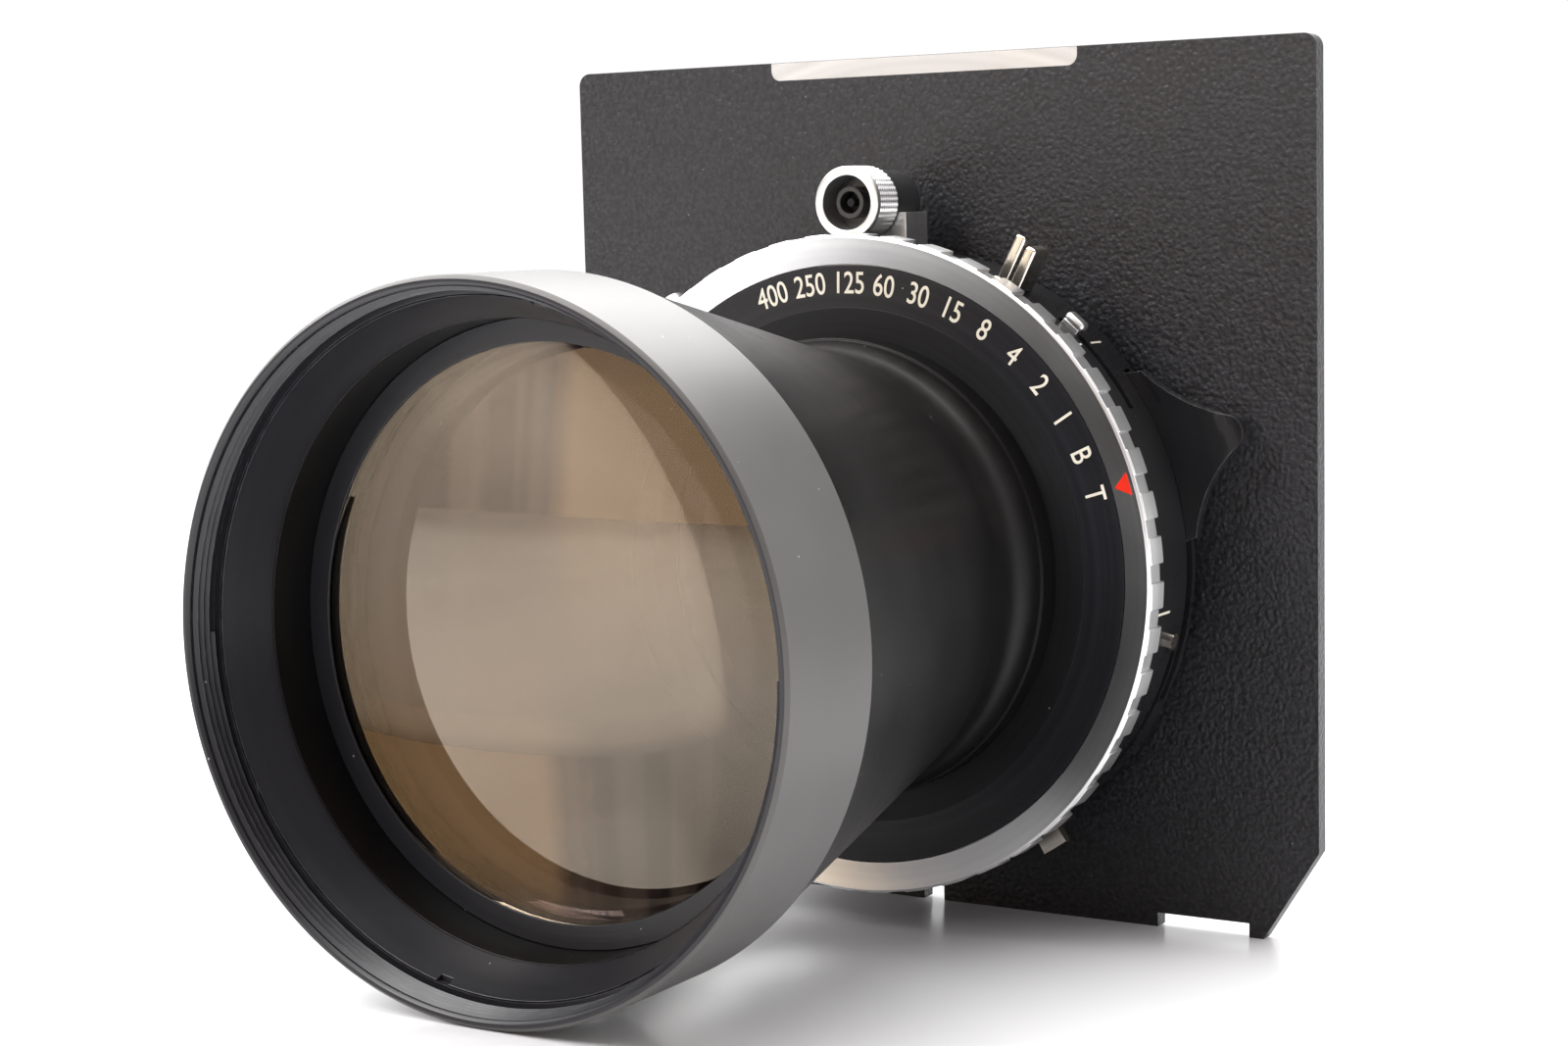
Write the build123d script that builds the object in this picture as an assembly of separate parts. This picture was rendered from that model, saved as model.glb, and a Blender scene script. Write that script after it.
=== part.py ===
from build123d import *
import os
from math import atan2, cos, degrees, radians, sin

os.makedirs("parts", exist_ok=True)

# A large-format view-camera lens in a size-1 leaf shutter on a flat lens board.
# Millimetres. The lens axis is Y, the front of the lens is -Y, +Z is up, +X is
# right when the lens is looked at from the front. The origin is on the lens axis,
# on the board's front face, where the shutter seats. Angles turn from +X toward
# +Z, and radii are from the lens axis, unless a line says otherwise.

# ---------- driving dimensions ----------
board_width = 96.0
board_height = 99.0
board_thick = 2.0
board_centre_up = 7.5            # the board's centre is this far above the lens axis
board_hole_r = 20.8              # standard opening for a size-1 shutter
shutter_depth = 20.0             # board face to the seat of the front cell
housing_r = 34.6
clear_aperture_r = 15.2
lens_length = 87.7               # board face to the very front of the rim
band_r = 34.56                   # front band's outside
band_long = 14.5
filter_thread_r = 33.1           # wall of the M67 x 0.75 filter thread
rear_barrel_r = 20.5
rear_length = 24.2               # board face to the back end of the rear barrel

# ---------- clearances ----------
run_gap = 0.05                   # a turning piece in its bore, on the radius
seat_gap = 0.02                  # a fixed piece in its bore, on the radius
face_gap = 0.1                   # between the faces of turning pieces

# ---------- levels through the shutter, from the board to the front ----------
foot_deep = 2.0
floor_y = -3.6                   # inside face of the housing's rear wall
blade_thick = 0.1
blade_pitch = 0.16               # one layer to the next
iris_count = 7
leaf_count = 5
drive_thick = 1.0
plate_thick = 0.8
works_thick = 1.0
stack_gap = 0.06                 # from a wall to the first blade's layer
iris_first = floor_y - stack_gap
iris_ring_back = iris_first - iris_count * blade_pitch - seat_gap
iris_ring_front = iris_ring_back - drive_thick
divider_back = iris_ring_front - face_gap
divider_front = divider_back - plate_thick
leaf_first = divider_front - stack_gap
leaf_ring_back = leaf_first - leaf_count * blade_pitch - seat_gap
leaf_ring_front = leaf_ring_back - drive_thick
works_back = leaf_ring_front - face_gap
works_front = works_back - works_thick
front_seat = -shutter_depth
housing_front = front_seat + 5.0
cover_front = front_seat + 3.8
hub_front = front_seat + 2.5
dial_front = front_seat + 1.85

# ---------- helpers ----------


def turned(*corners):
    """A solid turned about the lens axis from (radius, y) corners."""
    return revolve(make_face(Polyline(*corners, close=True)), Axis.Y)


def tube(inner, outer, front, back):
    return turned((inner, front), (outer, front), (outer, back), (inner, back))


def rod(radius, front, back):
    return turned((0, front), (radius, front), (radius, back), (0, back))


def spot(radius, angle):
    """The (x, z) place at a radius and an angle in the front view."""
    return radius * cos(radians(angle)), radius * sin(radians(angle))


def plate(outline, back, thick):
    """A flat outline in the front view, thickened toward the front from y = back."""
    return extrude(Plane.XZ.offset(-back) * outline, thick)


def sector(inner, outer, start, end):
    """A flat piece of a ring between two angles."""
    middle = (start + end) / 2
    far = ThreePointArc(spot(outer, start), spot(outer, middle), spot(outer, end))
    near = ThreePointArc(spot(inner, end), spot(inner, middle), spot(inner, start))
    return make_face([far, Line(far @ 1, near @ 0), near, Line(near @ 1, far @ 0)])


def at_angle(shape, angle):
    """Turn a shape about the lens axis, counter-clockwise from the front."""
    return shape.rotate(Axis.Y, -angle)


def pin_at(place, radius, back, thick):
    """A round pin parallel to the lens axis at an (x, z) place."""
    return plate(Pos(*place) * Circle(radius), back, thick)


def surface(radius, edge, bulge):
    """A lens surface from its edge to the axis, a true arc centred on the axis."""
    curve = (radius ** 2 + bulge ** 2) / (2 * bulge)
    centre = edge - bulge + curve
    half = radius / 2
    reach = (curve ** 2 - half ** 2) ** 0.5
    middle = centre - reach if bulge > 0 else centre + reach
    return ThreePointArc((radius, edge), (half, middle), (0, edge - bulge))


def lens(radius, front_edge, front_bulge, back_edge, back_bulge):
    """A glass element. A bulge is how far its middle stands forward of its edge."""
    front = surface(radius, front_edge, front_bulge)
    back = surface(radius, back_edge, back_bulge)
    sides = [front, Line((0, front_edge - front_bulge), (0, back_edge - back_bulge)), back,
             Line((radius, back_edge), (radius, front_edge))]
    return revolve(make_face(sides), Axis.Y)


def save(shape, node):
    export_step(shape, f"parts/{node}.step")


def group(shapes):
    return Compound(children=list(shapes))


# ---------- lens board ----------
board_low = board_centre_up - board_height / 2
board_high = board_centre_up + board_height / 2
corner_across = 6.5
corner_up = 10.3
slot_width = 11.0
slot_deep = 1.6
slot_end = 39.8                  # outer end of each bottom-edge slot, from the middle
notch_width = 2.65
notch_deep = 3.2
bare_width = 40.0                # lock strip at the top edge
bare_tall = 2.1
bare_deep = 0.15
board_corner_r = 1.5
bare_corner_r = 1.2
past = 3.0                       # how far a cutting shape runs past an edge

outline = Pos(0, board_centre_up) * RectangleRounded(board_width, board_height, board_corner_r)
for side in (-1, 1):
    edge = side * board_width / 2
    outside = edge + side * past
    inside = edge - side * corner_across
    outline -= make_face(Polyline(
        (edge, board_low + corner_up), (outside, board_low + corner_up), (outside, board_low - past),
        (inside, board_low - past), (inside, board_low), close=True))
    outline -= Pos(side * (slot_end - slot_width / 2), board_low) * Rectangle(slot_width, 2 * slot_deep)
outline -= Pos(0, board_low) * Rectangle(notch_width, 2 * notch_deep)
outline -= Circle(board_hole_r)
lens_board = plate(outline, board_thick, board_thick)
strip = Pos(0, board_high) * RectangleRounded(bare_width, 2 * bare_tall, bare_corner_r)
lens_board -= plate(strip, 0, bare_deep).translate((0, bare_deep, 0))
save(lens_board, "lens_board")

# ---------- shutter housing ----------
foot_r = housing_r - 4.6
chamber_r = housing_r - 3.6
neck_r = 19.45                   # the M39 thread behind the board
rear_thread_r = 18.0             # the M36 thread that takes the rear cell
neck_end = 5.6
rear_cell_stop = -1.8

housing = turned(
    (rear_thread_r, neck_end), (neck_r, neck_end), (neck_r, 0), (foot_r, 0), (foot_r, -foot_deep),
    (housing_r, -foot_deep), (housing_r, housing_front), (chamber_r, housing_front),
    (chamber_r, floor_y), (clear_aperture_r, floor_y), (clear_aperture_r, rear_cell_stop),
    (rear_thread_r, rear_cell_stop))

# The cocking lever's travel and its slot in the wall.
cock_angle = 20.0                # where the lever's pin rests
cock_travel = 30.0               # clockwise, from rest to cocked
cock_back = -2.9
cock_thick = 1.4
cock_front = cock_back - cock_thick
cock_root_low = 4.2
cock_root_high = 37.6
cock_root_r = housing_r - 2.7
cock_pin_r = 0.6
cock_pin_at = housing_r - 2.0
cock_lift = 0.15                 # the cocking ring stands off the works plate
cock_ring_back = works_front - cock_lift
cock_ring_thick = 1.0
cock_ring_front = cock_ring_back - cock_ring_thick
arm_half = 3.0                   # half the arm's angle
slot_gap = 0.1                   # above and below a lever in its wall slot
stop_gap = 0.6                   # degrees past a lever's travel, at each end of its slot
undercut = 0.2                   # a cut starts this far inside the surface it opens
relief_r = housing_r - 1.1


def wall_slot(inner, start, end, back, front):
    """A slot through the housing wall between two angles and two levels."""
    return plate(sector(inner, housing_r + 1, start, end), back, back - front)


housing -= wall_slot(
    cock_root_r - undercut, cock_root_low - cock_travel - stop_gap, cock_root_high + stop_gap,
    cock_back + slot_gap, cock_front - slot_gap)
relief = sector(
    chamber_r - undercut, relief_r, cock_angle - cock_travel - arm_half - stop_gap,
    cock_angle + arm_half + stop_gap)
relief_back = cock_front - slot_gap
housing -= plate(relief, relief_back, relief_back - (cock_ring_front - slot_gap))

# The aperture lever's travel.
stop_angle = -57.0               # the lever's place with the iris wide open
stop_travel = 39.0
stop_half = 2.4                  # half the lever arm's angle
housing -= wall_slot(
    chamber_r - undercut, stop_angle - stop_half - stop_gap, stop_angle + stop_travel + stop_half + stop_gap,
    iris_ring_back + slot_gap, iris_ring_front - slot_gap)

# The preview lever's travel.
view_angle = 49.0                # the lever's place with the leaves closed
view_travel = 16.0               # clockwise, from closed to open
view_half = 2.2
housing -= wall_slot(
    chamber_r - undercut, view_angle - view_travel - view_half - stop_gap, view_angle + view_half + stop_gap,
    leaf_ring_back + slot_gap, leaf_ring_front - slot_gap)

# The release lever's travel.
trip_angle = 62.0
trip_travel = 9.0
trip_pivot_r = housing_r - 7.6
trip_lift = 0.45                 # the release lever stands off the works plate
trip_back = works_front - trip_lift
trip_thick = 1.0
trip_width = 2.8
trip_swing_down = 7.0            # the wall slot's ends, in degrees from the lever at rest
trip_swing_up = 5.0
housing -= wall_slot(
    chamber_r - undercut, trip_angle - trip_swing_down, trip_angle + trip_swing_up,
    trip_back + slot_gap, trip_back - trip_thick - slot_gap)

# Holes for the cover screws, the iris pins, the cable socket and the side screw.
screw_circle = housing_r - 2.2
screw_r = 0.6
screw_long = 3.0
screw_head_r = 1.1
screw_head_thick = 0.6
screw_count = 4
screw_angles = [n * 360 / screw_count for n in range(screw_count)]
for angle in screw_angles:
    housing -= pin_at(spot(screw_circle, angle), screw_r + seat_gap, housing_front + screw_long, screw_long)

iris_pivot_r = 25.6
pivot_pin_r = 0.5
pin_sunk = 0.6
iris_step = 360 / iris_count
for n in range(iris_count):
    housing -= pin_at(spot(iris_pivot_r, n * iris_step), pivot_pin_r + seat_gap, floor_y + pin_sunk, pin_sunk)

cable_angle = 135.0
cable_y = -11.4
cable_root_r = 2.0
cable_collar_r = 2.8
cable_bore_r = 1.25
cable_bore_long = 7.0
cable_end = housing_r + 5.6


def spoke(radius, start, end, y, angle):
    """A round bar standing out from the lens axis between two radii."""
    bar = Plane(origin=(start, y, 0), x_dir=(0, 1, 0), z_dir=(1, 0, 0)) * Circle(radius)
    return at_angle(extrude(bar, end - start), angle)


housing -= spoke(cable_root_r + seat_gap, chamber_r - undercut, housing_r + past, cable_y, cable_angle)

side_screw_angle = -13.2
side_screw_y = -7.4
side_screw_r = 0.5
side_screw_head_r = 0.95
side_screw_head_tall = 0.7
side_screw_deep = 0.8
end_gap = 0.1                    # below the end of a pin or screw in its hole
hole_end = housing_r - side_screw_deep - end_gap
housing -= spoke(side_screw_r + seat_gap, hole_end, housing_r + past, side_screw_y, side_screw_angle)
save(housing, "shutter_housing")

head_top = housing_r + side_screw_head_tall
side_screw = spoke(side_screw_r, housing_r - side_screw_deep, head_top, side_screw_y, side_screw_angle)
side_screw += spoke(side_screw_head_r, housing_r, head_top, side_screw_y, side_screw_angle)
save(side_screw, "side_screw")

# ---------- flange nut behind the board ----------
nut_r = 24.5
nut_thick = 2.6
nut_notches = 4
notch_in = 1.5                   # a spanner notch's reach in from the edge
notch_down = 1.2
notch_across = 2.6
nut_back = board_thick + nut_thick
flange_nut = tube(neck_r + run_gap, nut_r, board_thick, nut_back)
for n in range(nut_notches):
    notch = Pos(nut_r, nut_back, 0) * Box(2 * notch_in, 2 * notch_down, notch_across)
    flange_nut -= at_angle(notch, (n + 0.5) * 360 / nut_notches)
save(flange_nut, "flange_nut")


# ---------- blades ----------
stud_r = 0.4                     # the stud that stands on a blade and runs in a drive slot
stud_slack = 0.12                # a stud's room in its slot, on the radius
ear_half = 2.6                   # half the angle of the ear that holds a blade's pivot
pivot_eye_r = 1.15
stud_eye_r = 0.65
ear_root = 1.0                   # how far an ear reaches into its blade
blade_span = 130.0               # how far round a blade reaches from its pivot
ring_inner_gap = 1.8             # a drive ring's bore is this much outside the opening


class BladeSet:
    """A ring of equal blades, their pivots, their studs and the slots that move them."""

    def __init__(self, count, inner, outer, pivot_r, stud_arm, turn, ring_turn, first, ring_front):
        self.count = count
        self.inner = inner
        self.outer = outer
        self.pivot_r = pivot_r
        self.stud_arm = stud_arm
        self.turn = turn
        self.ring_turn = ring_turn
        self.first = first
        self.ring_front = ring_front
        self.step = 360 / count
        self.stud_rest = -90 - turn / 2

    def stud_place(self, turned_by):
        """The stud's place once the blade has turned in by this many degrees."""
        angle = radians(self.stud_rest + turned_by)
        return self.pivot_r + self.stud_arm * cos(angle), self.stud_arm * sin(angle)

    def outline(self):
        """The blade tucked away round the opening, with its pivot on +X."""
        stud = self.stud_place(0)
        stud_angle = degrees(atan2(stud[1], stud[0]))
        stud_out = (stud[0] ** 2 + stud[1] ** 2) ** 0.5
        root = self.outer - ear_root
        shape = sector(self.inner, self.outer, stud_angle - ear_half, blade_span)
        shape += sector(root, self.pivot_r, -ear_half, ear_half)
        shape += Pos(self.pivot_r, 0) * Circle(pivot_eye_r)
        shape += sector(root, stud_out, stud_angle - ear_half / 2, stud_angle + ear_half / 2)
        shape += Pos(*stud) * Circle(stud_eye_r)
        shape -= Pos(self.pivot_r, 0) * Circle(pivot_pin_r + run_gap)
        return shape

    def blade(self, number, turned_by):
        """One blade with its stud, turned in about its pivot, in its own layer."""
        layer = self.first - number * blade_pitch
        shape = plate(self.outline(), layer, blade_thick)
        top = self.ring_front + run_gap
        shape += pin_at(self.stud_place(0), stud_r, layer, layer - top)
        pivot = Axis((self.pivot_r, 0, 0), (0, -1, 0))
        return at_angle(shape.rotate(pivot, turned_by), number * self.step)

    def drive_slot(self, number, turned_at_rest):
        """The slot a stud runs in, drawn in the drive ring at rest."""
        places = []
        for part in (0, 0.5, 1):
            ring = self.ring_turn * part
            away = self.turn * part
            inward = turned_at_rest + (away if turned_at_rest == 0 else -away)
            x, z = self.stud_place(inward)
            back = radians(-ring)
            places.append((x * cos(back) - z * sin(back), x * sin(back) + z * cos(back)))
        path = ThreePointArc(*places)
        width = 2 * (stud_r + stud_slack)
        return Rot(0, 0, number * self.step) * SlotArc(path, width)

    def drive_ring(self, turned_at_rest):
        ring = Circle(chamber_r - run_gap) - Circle(clear_aperture_r + ring_inner_gap)
        for number in range(self.count):
            ring -= self.drive_slot(number, turned_at_rest)
        return ring

    def pins(self, seat, sunk, top):
        return group(
            pin_at(spot(self.pivot_r, n * self.step), pivot_pin_r, seat + sunk, seat + sunk - top)
            for n in range(self.count))


iris_outer_r = 23.4
iris_stud_arm = 3.6
iris_turn = 30.0                 # how far an iris blade turns in, from open to closed
leaf_inner_gap = 0.2
leaf_pivot_r = housing_r - 6.0
leaf_outer_r = leaf_pivot_r - 1.6
leaf_stud_arm = 3.5
leaf_turn = 32.0
iris = BladeSet(
    iris_count, clear_aperture_r + run_gap, iris_outer_r, iris_pivot_r, iris_stud_arm, iris_turn,
    stop_travel, iris_first, iris_ring_front)
leaves = BladeSet(
    leaf_count, clear_aperture_r + leaf_inner_gap, leaf_outer_r, leaf_pivot_r, leaf_stud_arm, leaf_turn,
    -view_travel, leaf_first, leaf_ring_front)

save(iris.pins(floor_y, pin_sunk, iris_ring_back + run_gap), "iris_pivot_pins")
for n in range(iris_count):
    save(iris.blade(n, 0), f"iris_blade_{n + 1}")

lever_root_r = housing_r - 4.8   # where a lever is let into its drive ring
iris_ring = iris.drive_ring(0)
iris_ring -= sector(lever_root_r, chamber_r + 1, stop_angle - stop_half, stop_angle + stop_half)
save(plate(iris_ring, iris_ring_back, drive_thick), "iris_drive_ring")

lever_gap = 0.3                  # between the housing's wall and a lever that passes over it
stop_out = housing_r + lever_gap
stop_tall = 1.0
stop_tab_back = -8.2
stop_tab_front = -9.4
stop_tip = housing_r + 3.3
root_gap = 0.05                  # degrees left each side of a lever's root
aperture_lever = plate(
    sector(lever_root_r + seat_gap, stop_out + stop_tall, -stop_half + root_gap, stop_half - root_gap),
    iris_ring_back, drive_thick)
aperture_lever += plate(
    sector(stop_out, stop_out + stop_tall, -stop_half, stop_half), iris_ring_front,
    iris_ring_front - stop_tab_front)
aperture_lever += plate(
    sector(stop_out, stop_tip, -stop_half, stop_half), stop_tab_back, stop_tab_back - stop_tab_front)
save(at_angle(aperture_lever, stop_angle), "aperture_lever")

# ---------- divider between iris and leaves, and the leaves ----------
divider = Circle(chamber_r - seat_gap) - Circle(clear_aperture_r)
for n in range(leaf_count):
    divider -= Pos(*spot(leaves.pivot_r, n * leaves.step)) * Circle(pivot_pin_r + seat_gap)
save(plate(divider, divider_back, plate_thick), "blade_divider")
save(leaves.pins(divider_front, pin_sunk, leaf_ring_back + run_gap), "leaf_pivot_pins")
for n in range(leaf_count):
    save(leaves.blade(n, leaves.turn), f"shutter_leaf_{n + 1}")

leaf_ring = leaves.drive_ring(leaves.turn)
view_root_r = housing_r - 4.2
leaf_ring -= sector(view_root_r, chamber_r + 1, view_angle - view_half, view_angle + view_half)
save(plate(leaf_ring, leaf_ring_back, drive_thick), "leaf_drive_ring")

view_tip = housing_r + 1.4
view_rise = 0.8                  # the lever's pad stands this much toward the board
preview = plate(
    sector(view_root_r + seat_gap, view_tip, -view_half + root_gap, view_half - root_gap),
    leaf_ring_back, drive_thick)
preview += plate(
    sector(housing_r + lever_gap, view_tip, -view_half, view_half), leaf_ring_back + view_rise,
    drive_thick + view_rise)
save(at_angle(preview, view_angle), "preview_lever")

# ---------- works plate with the front cell's thread tube ----------
front_thread_r = 20.0
tube_r = 21.3
works_plate = turned(
    (clear_aperture_r, works_back), (chamber_r - seat_gap, works_back), (chamber_r - seat_gap, works_front),
    (tube_r, works_front), (tube_r, front_seat), (front_thread_r, front_seat),
    (front_thread_r, works_front), (clear_aperture_r, works_front))
save(works_plate, "works_plate")

# ---------- cocking ring, pin and lever ----------
spring_at = housing_r - 8.3
cock_ring_r = spring_at - 2.9
cock_arm_r = housing_r - 1.3
pin_gap = 0.01                   # round a pin that is pressed in
cock_ring = Circle(cock_ring_r)
cock_ring += sector(tube_r + run_gap, cock_arm_r, cock_angle - arm_half, cock_angle + arm_half)
cock_ring -= Circle(tube_r + run_gap)
cock_ring -= Pos(*spot(cock_pin_at, cock_angle)) * Circle(cock_pin_r + pin_gap)
save(plate(cock_ring, cock_ring_back, cock_ring_thick), "cocking_ring")
save(pin_at(spot(cock_pin_at, cock_angle), cock_pin_r, cock_back, cock_back - cock_ring_front), "cocking_pin")

# The fin: concave above and below, a rounded tip, and a root that follows the wall.
fin_root_r = housing_r - 0.3
fin_high = spot(fin_root_r, cock_root_high)
fin_shoulder = spot(housing_r + 1.57, 35.89)
fin_top_dip = spot(housing_r + 3.88, 28.23)
fin_tip_high = spot(housing_r + 8.39, 22.57)
fin_tip = spot(housing_r + 9.15, 20.05)
fin_tip_low = spot(housing_r + 7.62, 17.79)
fin_low_dip = spot(housing_r + 3.32, 12.64)
fin_heel = spot(housing_r + 1.23, 4.96)
fin_low = spot(fin_root_r, cock_root_low)
fin_edges = [
    Line(fin_high, fin_shoulder),
    ThreePointArc(fin_shoulder, fin_top_dip, fin_tip_high),
    ThreePointArc(fin_tip_high, fin_tip, fin_tip_low),
    ThreePointArc(fin_tip_low, fin_low_dip, fin_heel),
    Line(fin_heel, fin_low),
    Line(fin_low, spot(cock_root_r, cock_root_low)),
    ThreePointArc(
        spot(cock_root_r, cock_root_low), spot(cock_root_r, cock_angle), spot(cock_root_r, cock_root_high)),
    Line(spot(cock_root_r, cock_root_high), fin_high),
]
fin = make_face(fin_edges) - Pos(*spot(cock_pin_at, cock_angle)) * Circle(cock_pin_r + pin_gap)
save(plate(fin, cock_back, cock_thick), "cocking_lever")

# ---------- main spring, release lever and its shaft ----------
spring_place = spot(spring_at, 118)
spring_wire = 0.3
spring_r = 2.0
spring_coils = 4
spring_pitch = 0.75
spring_post_r = 1.2
spring_base = works_front - spring_wire - run_gap
post_end_gap = 0.92              # between the post and the cover
post = pin_at(spring_place, spring_post_r, works_front, works_front - housing_front - post_end_gap)
save(post, "spring_post")
coil_path = Helix(spring_pitch, spring_coils * spring_pitch, spring_r)
coil = sweep(Plane(coil_path @ 0, z_dir=coil_path % 0) * Circle(spring_wire), path=coil_path)
coil = coil.rotate(Axis.X, 90)
save(coil.translate((spring_place[0], spring_base, spring_place[1])), "main_spring")

trip_shaft_r = 1.0
trip_front = trip_back - trip_thick
shaft_proud = 0.8                # how far the shaft stands past its lever
save(
    pin_at(spot(trip_pivot_r, trip_angle), trip_shaft_r, works_front, works_front - trip_front + shaft_proud),
    "release_shaft")
trip_tip = housing_r + 6.0
trip_wing_tall = 3.2
trip_wing_thick = 0.9
trip_wing_gap = 1.0              # from the housing's wall to the wing
trip_eye_r = 2.1
lever = Pos(trip_pivot_r, 0) * Circle(trip_eye_r)
lever += Pos((trip_pivot_r + trip_tip) / 2, 0) * Rectangle(trip_tip - trip_pivot_r, trip_width)
lever -= Pos(trip_pivot_r, 0) * Circle(trip_shaft_r + run_gap)
release_lever = plate(lever, trip_back, trip_thick)
wing_start = housing_r + trip_wing_gap
wing_across = (trip_wing_thick - trip_width) / 2
wing = Pos((wing_start + trip_tip) / 2, wing_across) * Rectangle(trip_tip - wing_start, trip_wing_thick)
release_lever += plate(wing, trip_back + trip_wing_tall, trip_wing_tall + trip_thick)
save(at_angle(release_lever, trip_angle), "release_lever")

# ---------- front cover and its screws ----------
hub_r = 27.0
cover_r = housing_r - 0.85
cover = turned(
    (tube_r + run_gap, housing_front), (cover_r, housing_front), (cover_r, cover_front), (hub_r, cover_front),
    (hub_r, hub_front), (tube_r + run_gap, hub_front))
cut_wide = 2.4                   # the screwdriver slot's length, width and twice its depth
cut_deep = 0.5
cut_across = 0.35
head_seat = cover_front + screw_head_thick + end_gap
screw_end = housing_front + screw_long - end_gap
screws = []
for angle in screw_angles:
    place = spot(screw_circle, angle)
    cover -= pin_at(place, screw_r + seat_gap, housing_front, past)
    cover -= pin_at(place, screw_head_r + end_gap, head_seat, past)
    bolt = pin_at(place, screw_r, screw_end, screw_end - head_seat)
    bolt += pin_at(place, screw_head_r, head_seat, screw_head_thick)
    cut = Pos(place[0], head_seat - screw_head_thick, place[1]) * Box(cut_wide, cut_deep, cut_across)
    screws.append(bolt - cut)
save(cover, "front_cover")
save(group(screws), "cover_screws")

# ---------- speed ring, its cam and its index ----------
cam_back = cover_front - face_gap
cam_thick = 0.4
cam_front = cam_back - cam_thick
flange_front = hub_front + face_gap
rim_bore = housing_r - 0.7
rim_r = housing_r + 2.3
rim_back = front_seat + 4.4
rim_front = front_seat + 0.9
lip = 0.2
dial_r = housing_r - 1.15
dish_r = dial_r + 0.08            # inner edge of the dished face
dish_out = rim_r - 2 * lip
groove_count = 48
groove_phase = 13.2
groove_deep = 0.5
groove_wide = 1.9
groove_start = 0.8               # the grooves stop this far behind the ring's front and run out at its back
speed_steps = 11
speed_step = 8.22                # one click, in degrees

speed_ring = turned(
    (hub_r + run_gap, cam_front), (rim_bore, cam_front), (rim_bore, rim_back), (rim_r, rim_back),
    (rim_r, rim_front + lip), (rim_r - lip, rim_front), (dish_out, rim_front), (dish_r, dial_front),
    (dish_r, flange_front), (hub_r + run_gap, flange_front))
groove_long = rim_back + past - (rim_front + groove_start)
groove = Box(2 * groove_deep, groove_long, groove_wide)
groove = Pos(rim_r, rim_front + groove_start + groove_long / 2, 0) * groove
for n in range(groove_count):
    speed_ring -= at_angle(groove, groove_phase + n * 360 / groove_count)

# The cam's outer edge steps down once per click.
cam_r = housing_r - 2.8
cam_rise = 0.05
cam = Circle(cam_r)
for n in range(speed_steps):
    cam += sector(hub_r + run_gap, cam_r + cam_rise * n, n * speed_step, (n + 1) * speed_step)
cam -= Circle(hub_r + run_gap)
save(plate(cam, cam_back, cam_back - cam_front), "speed_cam")

# The index is a thin inlay that stands a hair proud of the dished face.
index_angle = 16.8
index_tip_r = dish_r + 0.27
index_base_r = dish_r + 2.22
index_half = 2.1
inlay = 0.12
dish_slope = (dial_front - rim_front) / (dish_out - dish_r)


def dish_y(radius):
    return dial_front - (radius - dish_r) * dish_slope


triangle = make_face(Polyline(
    spot(index_tip_r, 0), spot(index_base_r, index_half), spot(index_base_r, -index_half), close=True))
wedge = plate(triangle, dial_front + past, 2 * past)
skin = turned(
    (dish_r, dish_y(dish_r)), (dish_out, dish_y(dish_out)),
    (dish_out, dish_y(dish_out) + inlay), (dish_r, dish_y(dish_r) + inlay))
index = at_angle(wedge & skin, index_angle)
save(speed_ring - index, "speed_ring")
save(index, "speed_index")

# ---------- dial and the nut that holds it ----------
dial_step_r = 28.8
dial_step = 0.15
dial_bore = tube_r + run_gap
dial = turned(
    (dial_bore, hub_front), (dial_r, hub_front), (dial_r, dial_front), (dial_step_r, dial_front),
    (dial_step_r, dial_front - dial_step), (dial_bore, dial_front - dial_step))
save(dial, "dial_plate")
dial_nut_r = 24.9
dial_nut_thick = 1.3
dial_nut_back = dial_front - dial_step
dial_nut_front = dial_nut_back - dial_nut_thick
spanner_angle = 30.0
spanner_in = 2.4                 # a spanner slot's reach in from the edge, its depth and width
spanner_deep = 0.6
spanner_wide = 1.6
dial_nut = tube(dial_bore, dial_nut_r, dial_nut_front, dial_nut_back)
for n in range(2):
    slot = Pos(dial_nut_r, dial_nut_front, 0) * Box(2 * spanner_in, 2 * spanner_deep, spanner_wide)
    dial_nut -= at_angle(slot, 180 * n + spanner_angle)
save(dial_nut, "dial_nut")

# ---------- flash socket on top of the housing ----------
flash_x = -1.2
flash_z = housing_r + 5.7
flash_front = housing_front - 0.2
collar_back = -10.4
collar_r = 4.1
collar_bore = 3.05
boss_r = 3.6
boss_back = -4.6
insulator_front = flash_front + 3.0
sleeve_bore = 1.25
sleeve_r = 1.75
sleeve_front = flash_front + 0.8
centre_pin_r = 0.45
centre_pin_front = flash_front + 1.0
bracket_wide = 8.2
bracket_long = 5.0
bracket_tall = 6.4
bracket_x = flash_x + 0.6
bracket_y = -7.6
bracket_z = flash_z - 4.4


def flash_tube(inner, outer, front, back):
    return tube(inner, outer, front, back).translate((flash_x, 0, flash_z))


def flash_rod(radius, front, back):
    return rod(radius, front, back).translate((flash_x, 0, flash_z))


save(flash_tube(collar_bore, collar_r, flash_front, collar_back), "flash_collar")
save(flash_rod(boss_r, collar_back, boss_back), "flash_boss")
save(flash_rod(collar_bore - seat_gap, insulator_front, collar_back), "flash_insulator")
save(flash_tube(sleeve_bore, sleeve_r, sleeve_front, insulator_front), "flash_sleeve")
save(flash_rod(centre_pin_r, centre_pin_front, insulator_front), "flash_pin")
bracket = Pos(bracket_x, bracket_y, bracket_z) * Box(bracket_wide, bracket_long, bracket_tall)
bracket -= rod(housing_r + seat_gap, dial_front, 0)
bracket -= flash_rod(boss_r + seat_gap, dial_front, 0)
save(bracket, "flash_bracket")

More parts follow.
